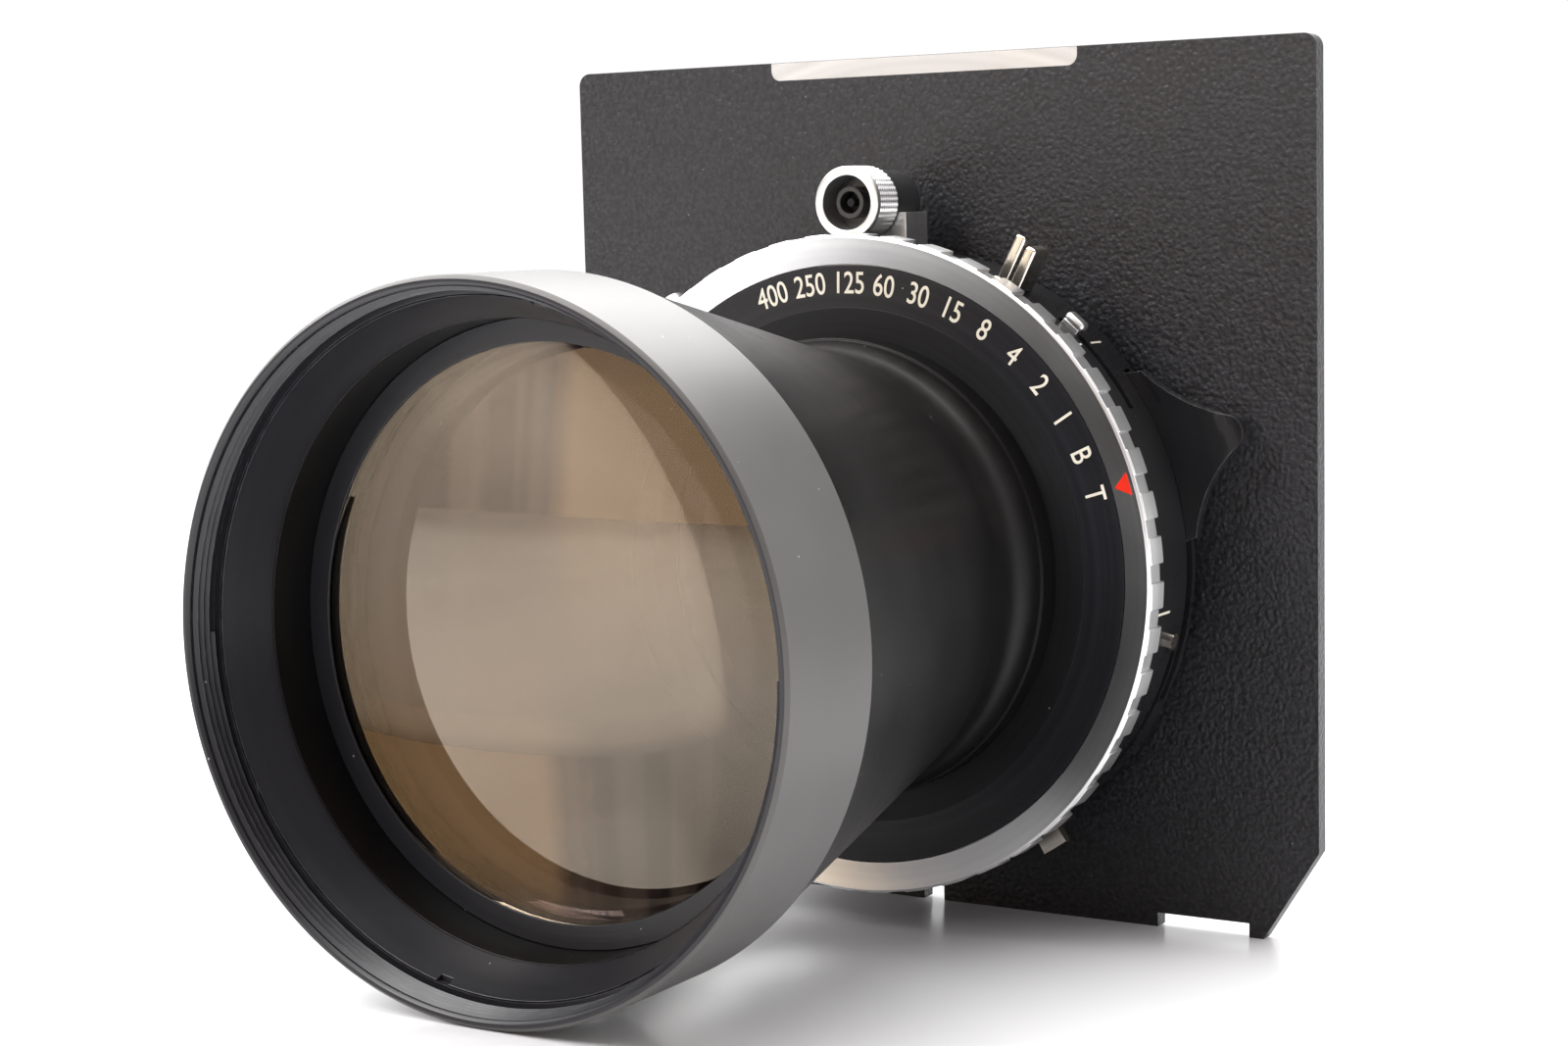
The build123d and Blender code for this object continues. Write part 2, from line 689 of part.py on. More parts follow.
# ---------- cable-release socket ----------
cable = spoke(cable_root_r, chamber_r + undercut, cable_end, cable_y, cable_angle)
collar = spoke(cable_collar_r, chamber_r, cable_end, cable_y, cable_angle)
collar -= rod(housing_r + seat_gap, dial_front, 0)
cable += collar
cable -= spoke(cable_bore_r, cable_end - cable_bore_long, cable_end + past, cable_y, cable_angle)
save(cable, "cable_socket")

# ---------- front cell ----------
rim_front_y = -lens_length
spigot_back = front_seat + 6.2
spigot_bore = 17.4
foot_edge_r = 25.6
skirt_bore = 25.05
skirt_back = front_seat + 1.55
foot_front = front_seat - 1.5
ring_step_r = 25.34
ring_step_front = front_seat - 3.5
cone_foot_r = 24.17
cone_foot_y = front_seat - 6.5
cone_front_r = band_r - 0.26
band_back = rim_front_y + band_long
nose_r = band_r - 2.56           # the barrel's front spigot inside the band
nose_front = rim_front_y + 8.6
nose_bore = nose_r - 1.7
glass_1_r = nose_bore - 1.0
glass_2_r = glass_1_r - 1.15
glass_3_r = 20.3
glass_2_lip = 1.2                # how far a seat's lip reaches in under its glass
glass_3_lip = 1.4
waist_back = front_seat - 4.5    # where the bore behind the third glass narrows to the spigot's
glass_1_bore_end = rim_front_y + 16.4
glass_1_seat = rim_front_y + 18.7
glass_2_seat = rim_front_y + 25.7
glass_3_seat = front_seat - 9.5
inner_ring_end = front_seat - 16.5

front_barrel = turned(
    (spigot_bore, spigot_back), (front_thread_r - run_gap, spigot_back),
    (front_thread_r - run_gap, front_seat), (skirt_bore, front_seat), (skirt_bore, skirt_back),
    (foot_edge_r, skirt_back), (foot_edge_r, foot_front),
    (ring_step_r, foot_front), (ring_step_r, ring_step_front), (cone_foot_r, cone_foot_y),
    (cone_front_r, band_back), (nose_r, band_back), (nose_r, nose_front), (nose_bore, nose_front),
    (nose_bore, glass_1_bore_end), (glass_1_r + run_gap, glass_1_bore_end),
    (glass_1_r + run_gap, glass_1_seat), (glass_2_r + run_gap, glass_1_seat),
    (glass_2_r + run_gap, glass_2_seat), (glass_2_r - glass_2_lip, glass_2_seat),
    (glass_3_r + run_gap, inner_ring_end), (glass_3_r + run_gap, glass_3_seat),
    (glass_3_r - glass_3_lip, glass_3_seat), (spigot_bore, waist_back))
save(front_barrel, "front_barrel")

rim_bevel = 0.5
band_bevel = 0.25
thread_end = rim_front_y + 3.6
baffle_seat_r = filter_thread_r - 0.4
baffle_seat_end = rim_front_y + 5.75
front_band = turned(
    (nose_r + run_gap, band_back), (band_r - band_bevel, band_back), (band_r, band_back - band_bevel),
    (band_r, rim_front_y + rim_bevel), (band_r - rim_bevel, rim_front_y),
    (filter_thread_r + rim_bevel, rim_front_y), (filter_thread_r, rim_front_y + rim_bevel),
    (filter_thread_r, thread_end), (baffle_seat_r, thread_end), (baffle_seat_r, baffle_seat_end),
    (nose_r + run_gap, baffle_seat_end))
save(front_band, "front_band")

baffle_back = nose_front - run_gap
baffle_shoulder = baffle_seat_end - run_gap
baffle_wide_r = baffle_seat_r - 0.16   # the cone's bore at its front and at its back
baffle_narrow_r = nose_bore + 0.1
baffle_front = thread_end + end_gap
baffle_slot_angle = 258.0
baffle_slot_in = 1.0
baffle_slot_deep = 0.8
baffle_slot_wide = 1.4
front_baffle = turned(
    (baffle_wide_r, baffle_front), (baffle_seat_r - run_gap, baffle_front),
    (baffle_seat_r - run_gap, baffle_shoulder), (nose_r, baffle_shoulder), (nose_r, baffle_back),
    (baffle_narrow_r, baffle_back))
for n in range(2):
    slot = Box(2 * baffle_slot_in, 2 * baffle_slot_deep, baffle_slot_wide)
    front_baffle -= at_angle(Pos(baffle_wide_r, baffle_front, 0) * slot, baffle_slot_angle + 180 * n)
save(front_baffle, "front_baffle")

# Each glass: its front and back edge, and how far its middle stands forward of each edge.
glass_1_front = rim_front_y + 14.7
glass_1_front_bulge = 3.66
glass_1_back = glass_1_seat - 1.0
glass_1_back_bulge = -1.07
glass_2_front = glass_2_seat - 5.5
glass_2_front_bulge = -2.66
glass_2_back = glass_2_seat - 0.15
glass_2_back_bulge = -1.32
glass_3_front = glass_3_seat - 3.5
glass_3_front_bulge = 3.54
glass_3_back = glass_3_seat - run_gap
glass_3_back_bulge = 2.32
lip_r = glass_1_r - 1.45
lip_front = glass_1_front - 0.75
lip_back = glass_1_front - 0.46
retainer_clear_r = glass_1_r + 0.1
retainer = turned(
    (lip_r, lip_back), (lip_r, lip_front), (nose_bore - run_gap, lip_front),
    (nose_bore - run_gap, glass_1_bore_end), (retainer_clear_r, glass_1_bore_end),
    (retainer_clear_r, glass_1_front - run_gap))
save(retainer, "front_retainer")
save(
    lens(glass_1_r, glass_1_front, glass_1_front_bulge, glass_1_back, glass_1_back_bulge), "front_glass_1")
spacer_bore = glass_2_r - 0.85
spacer_front = glass_1_back + 0.2
save(tube(spacer_bore, glass_2_r, spacer_front, glass_2_front - run_gap), "glass_spacer")
save(
    lens(glass_2_r, glass_2_front, glass_2_front_bulge, glass_2_back, glass_2_back_bulge), "front_glass_2")
save(
    lens(glass_3_r, glass_3_front, glass_3_front_bulge, glass_3_back, glass_3_back_bulge), "front_glass_3")
inner_ring_bore = glass_3_r - 1.5
inner_ring_front = glass_3_front - 2.4
inner_ring_back = glass_3_front - 0.75
save(tube(inner_ring_bore, glass_3_r, inner_ring_front, inner_ring_back), "inner_retainer")

# ---------- rear cell ----------
rear_spigot_front = rear_cell_stop + undercut
rear_foot_r = rear_barrel_r + 1.0
rear_foot_y = neck_end + run_gap
rear_body_y = 7.2
rear_bevel = 0.5
rear_bore = 15.6
glass_4_r = 17.55
glass_5_r = 18.55
glass_4_seat = 7.0
glass_4_end = 13.5
rear_barrel = turned(
    (rear_bore, rear_spigot_front), (rear_thread_r - run_gap, rear_spigot_front),
    (rear_thread_r - run_gap, rear_foot_y), (rear_foot_r, rear_foot_y), (rear_foot_r, rear_body_y),
    (rear_barrel_r, rear_body_y), (rear_barrel_r, rear_length - rear_bevel),
    (rear_barrel_r - rear_bevel, rear_length), (glass_5_r + run_gap, rear_length),
    (glass_5_r + run_gap, glass_4_end), (glass_4_r + run_gap, glass_4_end),
    (glass_4_r + run_gap, glass_4_seat), (rear_bore, glass_4_seat))
save(rear_barrel, "rear_barrel")
glass_4_front = glass_4_seat + 0.1
glass_4_front_bulge = -1.8
glass_4_back = 11.5
glass_4_back_bulge = -1.3
glass_5_front = 15.2
glass_5_front_bulge = -1.5
glass_5_back = 19.5
glass_5_back_bulge = -1.5
save(
    lens(glass_4_r, glass_4_front, glass_4_front_bulge, glass_4_back, glass_4_back_bulge), "rear_glass_1")
rear_spacer_bore = 17.3
save(tube(rear_spacer_bore, glass_5_r, glass_4_end + run_gap, glass_5_front - run_gap), "rear_spacer")
save(
    lens(glass_5_r, glass_5_front, glass_5_front_bulge, glass_5_back, glass_5_back_bulge), "rear_glass_2")
rear_ring_bore = 16.9
rear_ring_front = 19.8
rear_ring_back = 22.0
rear_slot_in = 1.2
rear_slot_deep = 0.7
rear_slot_wide = 1.2
rear_retainer = tube(rear_ring_bore, glass_5_r, rear_ring_front, rear_ring_back)
for n in range(2):
    slot = Pos(rear_ring_bore, rear_ring_back, 0) * Box(2 * rear_slot_in, 2 * rear_slot_deep, rear_slot_wide)
    rear_retainer -= at_angle(slot, 180 * n)
save(rear_retainer, "rear_retainer")
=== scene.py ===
# %% [markdown]
# # A view-camera lens on its board
# The lens has a long black barrel, a leaf shutter with a bright speed ring, and a flat
# board that drops into a camera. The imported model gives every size. This lesson dresses
# it: it rounds the edges that catch light, cuts the threads and knurls, prints the
# numbers and builds each finish from shader nodes.

# %% Load the frame
import math
import bmesh
import bpy
from mathutils import Matrix, Vector


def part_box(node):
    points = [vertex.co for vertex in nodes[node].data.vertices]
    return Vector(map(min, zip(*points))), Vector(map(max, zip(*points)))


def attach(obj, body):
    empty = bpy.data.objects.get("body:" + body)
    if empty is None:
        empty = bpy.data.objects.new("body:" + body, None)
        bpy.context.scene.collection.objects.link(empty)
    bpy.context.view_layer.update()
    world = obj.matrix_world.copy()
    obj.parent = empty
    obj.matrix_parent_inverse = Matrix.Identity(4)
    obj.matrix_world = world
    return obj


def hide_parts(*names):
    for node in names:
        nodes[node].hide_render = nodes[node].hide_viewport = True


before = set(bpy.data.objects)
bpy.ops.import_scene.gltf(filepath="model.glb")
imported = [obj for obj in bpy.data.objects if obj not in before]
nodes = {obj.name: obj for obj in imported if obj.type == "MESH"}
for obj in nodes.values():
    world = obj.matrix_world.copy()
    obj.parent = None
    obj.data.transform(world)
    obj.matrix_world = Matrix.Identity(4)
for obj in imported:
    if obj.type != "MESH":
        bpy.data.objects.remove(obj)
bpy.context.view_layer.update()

MM = 0.001
PER_MM = 1000.0


# %% [markdown]
# ## Measures
# The lens axis is Y and the front of the lens is -Y, so a turned piece is fully told by
# its largest radius and its two ends. They could be typed in, but then they would drift
# from the frame. They are read from each node's box instead, in millimetres.

# %% Measures taken from the frame
def radius_of(node):
    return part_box(node)[1].x / MM


def front_of(node):
    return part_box(node)[0].y / MM


def back_of(node):
    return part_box(node)[1].y / MM


print("band", radius_of("front_band"), front_of("front_band"), back_of("front_band"))
print("ring", radius_of("speed_ring"), front_of("speed_ring"), back_of("speed_ring"))


# %% [markdown]
# ## Meshes turned on a lathe
# Nearly every piece of a lens is turned. A turned piece could be a cylinder that is cut
# and scaled, but spinning one outline about the axis is how the lathe makes it, and it
# gives clean rings of quads. Its sharp edges are then rounded a little, because a real
# edge always catches a thin line of light.

# %% Lathe helpers
round_steps = 240
sharp_corner = 25
crease_angle = 40
weld_gap = 0.002


def to_object(mesh, name, sharp=crease_angle):
    """Close a bmesh into an object with smooth faces and sharp edges kept sharp."""
    for face in mesh.faces:
        face.smooth = True
    for edge in mesh.edges:
        if len(edge.link_faces) == 2 and edge.calc_face_angle(0) > math.radians(sharp):
            edge.smooth = False
    data = bpy.data.meshes.new(name)
    mesh.to_mesh(data)
    mesh.free()
    piece = bpy.data.objects.new(name, data)
    bpy.context.scene.collection.objects.link(piece)
    flat = piece.modifiers.new("flat faces stay flat", "WEIGHTED_NORMAL")
    flat.keep_sharp = True
    return piece


def soften(mesh, edges, width, segments):
    bmesh.ops.bevel(
        mesh, geom=edges, offset=width * MM, offset_type="OFFSET", segments=segments, profile=0.5,
        affect="EDGES", clamp_overlap=True, material=-1)


def round_edges(mesh, width, segments=2):
    sharp = []
    for edge in mesh.edges:
        if len(edge.link_faces) == 2 and edge.calc_face_angle(0) > math.radians(sharp_corner):
            sharp.append(edge)
    soften(mesh, sharp, width, segments)


def turn(mesh, angle, axis):
    """Turn a whole mesh about the origin, by an angle in radians."""
    bmesh.ops.rotate(mesh, verts=mesh.verts, cent=(0, 0, 0), matrix=Matrix.Rotation(angle, 3, axis))


def spun(outline, steps=round_steps, closed=True):
    """Spin (radius, y) corners about the lens axis into a closed skin."""
    mesh = bmesh.new()
    ring = [mesh.verts.new((radius * MM, y * MM, 0)) for radius, y in outline]
    edges = [mesh.edges.new(pair) for pair in zip(ring, ring[1:])]
    if closed:
        edges.append(mesh.edges.new((ring[-1], ring[0])))
    bmesh.ops.spin(
        mesh, geom=ring + edges, cent=(0, 0, 0), axis=(0, 1, 0), dvec=(0, 0, 0), angle=math.tau,
        steps=steps, use_merge=True, use_duplicate=False)
    bmesh.ops.remove_doubles(mesh, verts=mesh.verts, dist=weld_gap * MM)
    bmesh.ops.recalc_face_normals(mesh, faces=mesh.faces)
    return mesh


def swept(corners, angle, steps, step_back=0.0):
    """Spin closed (radius, y) corners part of the way round and close both ends."""
    mesh = bmesh.new()
    ring = [mesh.verts.new((radius * MM, y * MM, 0)) for radius, y in corners]
    edges = [mesh.edges.new((ring[n], ring[(n + 1) % len(ring)])) for n in range(len(ring))]
    bmesh.ops.spin(
        mesh, geom=ring + edges, cent=(0, 0, 0), axis=(0, 1, 0), dvec=(0, step_back * MM, 0),
        angle=angle, steps=steps, use_merge=False, use_duplicate=False)
    ends = [edge for edge in mesh.edges if len(edge.link_faces) == 1]
    bmesh.ops.holes_fill(mesh, edges=ends, sides=len(corners))
    bmesh.ops.recalc_face_normals(mesh, faces=mesh.faces)
    return mesh


def turned(name, outline, edge):
    mesh = spun(outline)
    round_edges(mesh, edge)
    return to_object(mesh, name)


def place(piece, body, finish, slot, *stands_for):
    """Give a new piece its finish, the body it rides on and the nodes it stands for."""
    piece.data.materials.clear()
    piece.data.materials.append(finish)
    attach(piece, body)
    if stands_for:
        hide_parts(*stands_for)
    print(piece.name, "faces", len(piece.data.polygons))
    return piece


# %% [markdown]
# ## Edges of the pieces that stay as they are
# A small lever or screw already has its right shape. It needs only welded corners, soft
# shading and a rounded edge. These could be cut into a copy, but modifiers do the same
# work and leave the measured piece as it was.

# %% Soft edges by modifiers
rounding_angle = 35


def weld_tree():
    tree = bpy.data.node_groups.new("weld and soften", "GeometryNodeTree")
    tree.interface.new_socket(name="Geometry", in_out="INPUT", socket_type="NodeSocketGeometry")
    tree.interface.new_socket(name="Geometry", in_out="OUTPUT", socket_type="NodeSocketGeometry")
    start = tree.nodes.new("NodeGroupInput")
    end = tree.nodes.new("NodeGroupOutput")
    forget = tree.nodes.new("GeometryNodeRemoveAttribute")
    forget.inputs["Name"].default_value = "custom_normal"
    weld = tree.nodes.new("GeometryNodeMergeByDistance")
    weld.inputs["Distance"].default_value = weld_gap * MM
    soft = tree.nodes.new("GeometryNodeSetShadeSmooth")
    crisp = tree.nodes.new("GeometryNodeSetShadeSmooth")
    crisp.domain = "EDGE"
    crisp.inputs["Shade Smooth"].default_value = False
    angle = tree.nodes.new("GeometryNodeInputMeshEdgeAngle")
    sharper = tree.nodes.new("FunctionNodeCompare")
    sharper.operation = "GREATER_THAN"
    sharper.inputs["B"].default_value = math.radians(crease_angle)
    tree.links.new(start.outputs[0], forget.inputs["Geometry"])
    tree.links.new(forget.outputs["Geometry"], weld.inputs["Geometry"])
    tree.links.new(weld.outputs["Geometry"], soft.inputs["Geometry"])
    tree.links.new(soft.outputs["Geometry"], crisp.inputs["Geometry"])
    tree.links.new(angle.outputs["Unsigned Angle"], sharper.inputs["A"])
    tree.links.new(sharper.outputs["Result"], crisp.inputs["Selection"])
    tree.links.new(crisp.outputs["Geometry"], end.inputs[0])
    return tree


welding = weld_tree()


def dress(node, finish, edge):
    """Keep a node's shape; weld it, soften it, round its edges and give it a finish."""
    piece = nodes[node]
    weld = piece.modifiers.new("weld and soften", "NODES")
    weld.node_group = welding
    if edge:
        rounding = piece.modifiers.new("round edges", "BEVEL")
        rounding.width = edge * MM
        rounding.segments = 2
        rounding.limit_method = "ANGLE"
        rounding.angle_limit = math.radians(rounding_angle)
        rounding.harden_normals = True
    for number in range(max(1, len(piece.material_slots))):
        if not piece.material_slots:
            piece.data.materials.append(finish)
        piece.material_slots[number].material = finish


# %% [markdown]
# ## Effects that the finishes share
# Machining lines, fine grain, a crinkle, worn edges and dust each appear in several
# finishes. Each could be copied into every material; a node group with named sockets is
# built once instead, and each material sets its own values.

# %% Node group helpers
def new_group(title, inputs, outputs):
    tree = bpy.data.node_groups.new(title, "ShaderNodeTree")
    for name, value in inputs.items():
        socket = tree.interface.new_socket(name=name, in_out="INPUT", socket_type="NodeSocketFloat")
        socket.default_value = value
    for name in outputs:
        tree.interface.new_socket(name=name, in_out="OUTPUT", socket_type="NodeSocketFloat")
    start = tree.nodes.new("NodeGroupInput")
    end = tree.nodes.new("NodeGroupOutput")
    return tree, start, end


def maths(tree, operation, first, second, third=None, clamp=False):
    """A Math node whose inputs are sockets or plain numbers."""
    node = tree.nodes.new("ShaderNodeMath")
    node.operation = operation
    node.use_clamp = clamp
    for number, value in enumerate((first, second, third)):
        if isinstance(value, bpy.types.NodeSocket):
            tree.links.new(value, node.inputs[number])
        elif value is not None:
            node.inputs[number].default_value = value
    return node.outputs[0]


def noise(tree, vector, scale, detail=3.0, roughness=0.55):
    node = tree.nodes.new("ShaderNodeTexNoise")
    node.inputs["Detail"].default_value = detail
    node.inputs["Roughness"].default_value = roughness
    if isinstance(scale, bpy.types.NodeSocket):
        tree.links.new(scale, node.inputs["Scale"])
    else:
        node.inputs["Scale"].default_value = scale
    tree.links.new(vector, node.inputs["Vector"])
    return node.outputs["Fac"]


def span(tree, value, low, high, to_low=0.0, to_high=1.0):
    """Stretch a value's useful range to new ends, held inside them."""
    node = tree.nodes.new("ShaderNodeMapRange")
    node.inputs["From Min"].default_value = low
    node.inputs["From Max"].default_value = high
    node.inputs["To Min"].default_value = to_low
    node.inputs["To Max"].default_value = to_high
    tree.links.new(value, node.inputs["Value"])
    return node.outputs["Result"]


def own_place(tree):
    return tree.nodes.new("ShaderNodeTexCoord").outputs["Object"]


# %% Machining lines round the lens axis
def machining_group():
    tree, start, end = new_group(
        "machining lines", {"Lines per mm": 9.0, "Centre X": 0.0, "Centre Z": 0.0},
        ["Height", "Streak"])
    parts = tree.nodes.new("ShaderNodeSeparateXYZ")
    tree.links.new(own_place(tree), parts.inputs[0])
    across = maths(tree, "SUBTRACT", parts.outputs["X"], start.outputs["Centre X"])
    upward = maths(tree, "SUBTRACT", parts.outputs["Z"], start.outputs["Centre Z"])
    square = maths(tree, "MULTIPLY_ADD", upward, upward, maths(tree, "MULTIPLY", across, across))
    radius = maths(tree, "SQRT", square, None)
    scale = maths(tree, "MULTIPLY", start.outputs["Lines per mm"], PER_MM)
    flat = tree.nodes.new("ShaderNodeCombineXYZ")
    tree.links.new(maths(tree, "MULTIPLY", radius, scale), flat.inputs["X"])
    tree.links.new(maths(tree, "MULTIPLY", parts.outputs["Y"], scale), flat.inputs["Y"])
    fine = noise(tree, flat.outputs[0], 1.0, 2.0)
    broad = noise(tree, flat.outputs[0], 0.12, 1.0)
    tree.links.new(fine, end.inputs["Height"])
    tree.links.new(span(tree, broad, 0.3, 0.7), end.inputs["Streak"])
    return tree


machining = machining_group()


# %% Fine grain and a slow smudge
def grain_group():
    tree, start, end = new_group(
        "fine grain", {"Grains per mm": 6.0, "Smudges per mm": 0.06}, ["Height", "Smudge"])
    here = own_place(tree)
    fine = noise(tree, here, maths(tree, "MULTIPLY", start.outputs["Grains per mm"], PER_MM), 3.0)
    slow = noise(tree, here, maths(tree, "MULTIPLY", start.outputs["Smudges per mm"], PER_MM), 4.0)
    tree.links.new(fine, end.inputs["Height"])
    tree.links.new(span(tree, slow, 0.35, 0.65), end.inputs["Smudge"])
    return tree


grain = grain_group()


# %% Crinkle paint
def crinkle_group():
    tree, start, end = new_group("crinkle", {"Wrinkles per mm": 1.5}, ["Height", "Crest"])
    here = own_place(tree)
    scale = maths(tree, "MULTIPLY", start.outputs["Wrinkles per mm"], PER_MM)
    folds = noise(tree, here, scale, 2.0, 0.45)
    cells = tree.nodes.new("ShaderNodeTexVoronoi")
    cells.feature = "SMOOTH_F1"
    cells.inputs["Smoothness"].default_value = 0.7
    cells.inputs["Randomness"].default_value = 1.0
    tree.links.new(here, cells.inputs["Vector"])
    tree.links.new(scale, cells.inputs["Scale"])
    mixed = maths(tree, "MULTIPLY_ADD", cells.outputs["Distance"], -0.6, folds)
    tree.links.new(mixed, end.inputs["Height"])
    tree.links.new(span(tree, mixed, 0.05, 0.45), end.inputs["Crest"])
    return tree


crinkle = crinkle_group()


# %% Worn edges
def wear_group():
    tree, start, end = new_group("worn edges", {"Width mm": 0.15, "Worn": 0.5}, ["Mask"])
    bevel = tree.nodes.new("ShaderNodeBevel")
    bevel.samples = 4
    tree.links.new(maths(tree, "MULTIPLY", start.outputs["Width mm"], MM), bevel.inputs["Radius"])
    true = tree.nodes.new("ShaderNodeNewGeometry")
    dot = tree.nodes.new("ShaderNodeVectorMath")
    dot.operation = "DOT_PRODUCT"
    tree.links.new(bevel.outputs[0], dot.inputs[0])
    tree.links.new(true.outputs["Normal"], dot.inputs[1])
    edge = span(tree, maths(tree, "SUBTRACT", 1.0, dot.outputs["Value"]), 0.02, 0.2)
    patches = span(tree, noise(tree, own_place(tree), 700.0, 4.0), 0.4, 0.62)
    worn = maths(tree, "MULTIPLY", edge, patches)
    tree.links.new(maths(tree, "MULTIPLY", worn, start.outputs["Worn"], clamp=True), end.inputs["Mask"])
    return tree


wear = wear_group()


# %% Specks of dust
def dust_group():
    tree, start, end = new_group("dust", {"Specks per mm": 0.28, "Amount": 0.5}, ["Mask"])
    cells = tree.nodes.new("ShaderNodeTexVoronoi")
    tree.links.new(own_place(tree), cells.inputs["Vector"])
    scale = maths(tree, "MULTIPLY", start.outputs["Specks per mm"], PER_MM)
    tree.links.new(scale, cells.inputs["Scale"])
    speck = maths(tree, "LESS_THAN", cells.outputs["Distance"], 0.03)
    tree.links.new(maths(tree, "MULTIPLY", speck, start.outputs["Amount"]), end.inputs["Mask"])
    return tree


dust = dust_group()
print("shared effects", [g.name for g in bpy.data.node_groups])


# %% [markdown]
# ## Finishes
# Each finish is one Principled shader. Its colour, roughness and bump come from the
# shared effects; a value that is the same all over stays on the shader's own socket.
# One function wires them, because a maker also uses the same bath or spray gun for
# different pieces and changes only the recipe.

# %% A finish from its recipe
def placed_group(tree, group, values):
    node = tree.nodes.new("ShaderNodeGroup")
    node.node_tree = group
    for name, value in values.items():
        node.inputs[name].default_value = value
    return node


def blended(tree, mask, first, second):
    """Mix two colours; each is a socket or a plain (r, g, b). Inputs 6 and 7 are the colours."""
    node = tree.nodes.new("ShaderNodeMix")
    node.data_type = "RGBA"
    tree.links.new(mask, node.inputs[0])
    for number, colour in ((6, first), (7, second)):
        if isinstance(colour, bpy.types.NodeSocket):
            tree.links.new(colour, node.inputs[number])
        else:
            node.inputs[number].default_value = (*colour, 1)
    return node.outputs[2]


dust_colour = (0.5, 0.5, 0.48)


def finish(name, pattern, settings, dark, light, rough, metallic=0.0, bump=0.01, worn=None, dusty=0.0,
           specular=0.5, coat=0.0, coat_rough=0.1):
    """Two close colours over a pattern, a roughness range, a bump, wear and dust.

    The bump is in millimetres; worn is the width in millimetres, the amount and the colour.
    """
    material = bpy.data.materials.new(name)
    material.use_nodes = True
    tree = material.node_tree
    shader = tree.nodes["Principled BSDF"]
    detail = placed_group(tree, pattern, settings)
    slow = placed_group(tree, grain, {"Grains per mm": 3.0})
    colour = blended(tree, detail.outputs[1], dark, light)
    smudged = span(tree, slow.outputs["Smudge"], 0, 1, *rough)
    roughness = maths(tree, "ADD", smudged, span(tree, detail.outputs[0], 0.3, 0.7, -0.02, 0.02))
    if worn:
        edges = placed_group(tree, wear, {"Width mm": worn[0], "Worn": worn[1]})
        colour = blended(tree, edges.outputs[0], colour, worn[2])
    if dusty:
        specks = placed_group(tree, dust, {"Amount": dusty})
        colour = blended(tree, specks.outputs[0], colour, dust_colour)
        roughness = maths(tree, "MAXIMUM", roughness, specks.outputs[0])
    tree.links.new(colour, shader.inputs["Base Color"])
    tree.links.new(roughness, shader.inputs["Roughness"])
    relief = tree.nodes.new("ShaderNodeBump")
    relief.inputs["Strength"].default_value = 1.0
    relief.inputs["Distance"].default_value = bump * MM
    tree.links.new(detail.outputs[0], relief.inputs["Height"])
    tree.links.new(relief.outputs[0], shader.inputs["Normal"])
    shader.inputs["Metallic"].default_value = metallic
    shader.inputs["Specular IOR Level"].default_value = specular
    shader.inputs["Coat Weight"].default_value = coat
    shader.inputs["Coat Roughness"].default_value = coat_rough
    return material


# %% The finishes of this lens
crinkle_black = finish(
    "crinkle black paint", crinkle, {"Wrinkles per mm": 1.9},
    (0.004, 0.004, 0.0055), (0.016, 0.016, 0.020), (0.42, 0.52),
    bump=0.12, worn=(0.25, 0.35, (0.2, 0.2, 0.2)), dusty=0.15, specular=0.4)
bare_metal = finish(
    "bare brushed aluminium", machining, {"Lines per mm": 5.0}, (0.42, 0.42, 0.42), (0.52, 0.52, 0.52),
    (0.42, 0.52), metallic=1.0, bump=0.004)
band_satin = finish(
    "satin grey anodising", grain, {"Grains per mm": 12.0}, (0.072, 0.069, 0.066), (0.088, 0.085, 0.082),
    (0.36, 0.42), metallic=0.45, bump=0.004, worn=(0.12, 0.6, (0.5, 0.5, 0.5)), dusty=0.5)
rim_black = finish(
    "satin black anodising", machining, {"Lines per mm": 6.0},
    (0.007, 0.007, 0.009), (0.012, 0.012, 0.015), (0.3, 0.4),
    bump=0.006, worn=(0.08, 0.5, (0.25, 0.25, 0.27)), dusty=0.5, specular=0.4)
matt_black = finish(
    "matt black inner paint", grain, {"Grains per mm": 8.0},
    (0.010, 0.010, 0.011), (0.018, 0.018, 0.019), (0.5, 0.6), bump=0.01)
barrel_black = finish(
    "satin black enamel", grain, {"Grains per mm": 9.0},
    (0.0035, 0.0032, 0.0032), (0.006, 0.0056, 0.0055), (0.28, 0.36),
    bump=0.002, worn=(0.1, 0.35, (0.2, 0.2, 0.2)), dusty=0.5, specular=0.16)
housing_black = finish(
    "semi-gloss black enamel", grain, {"Grains per mm": 7.0},
    (0.008, 0.008, 0.009), (0.014, 0.014, 0.015), (0.26, 0.36),
    bump=0.006, worn=(0.1, 0.3, (0.2, 0.2, 0.2)), dusty=0.3, specular=0.3)
gloss_black = finish(
    "gloss black lacquer", grain, {"Grains per mm": 5.0}, (0.006, 0.006, 0.007), (0.010, 0.010, 0.011),
    (0.16, 0.24), bump=0.004, worn=(0.1, 0.9, (0.25, 0.25, 0.26)), dusty=0.3, coat=0.6, coat_rough=0.06)
dial_black = finish(
    "satin black dial", machining, {"Lines per mm": 10.0}, (0.008, 0.008, 0.010), (0.013, 0.013, 0.016),
    (0.34, 0.42), bump=0.003, dusty=0.4, specular=0.25)
# A darker, duller black: painted shade for the inside of the dial and for the flash pin.
painted_shade_black = finish(
    "dark black with painted shade", machining, {"Lines per mm": 10.0}, (0.005, 0.005, 0.006), (0.008, 0.008, 0.009),
    (0.5, 0.6), bump=0.003, dusty=0.4, specular=0.2)
chrome = finish(
    "satin chrome", machining, {"Lines per mm": 8.0}, (0.76, 0.76, 0.76), (0.84, 0.84, 0.83),
    (0.3, 0.38), metallic=1.0, bump=0.003)
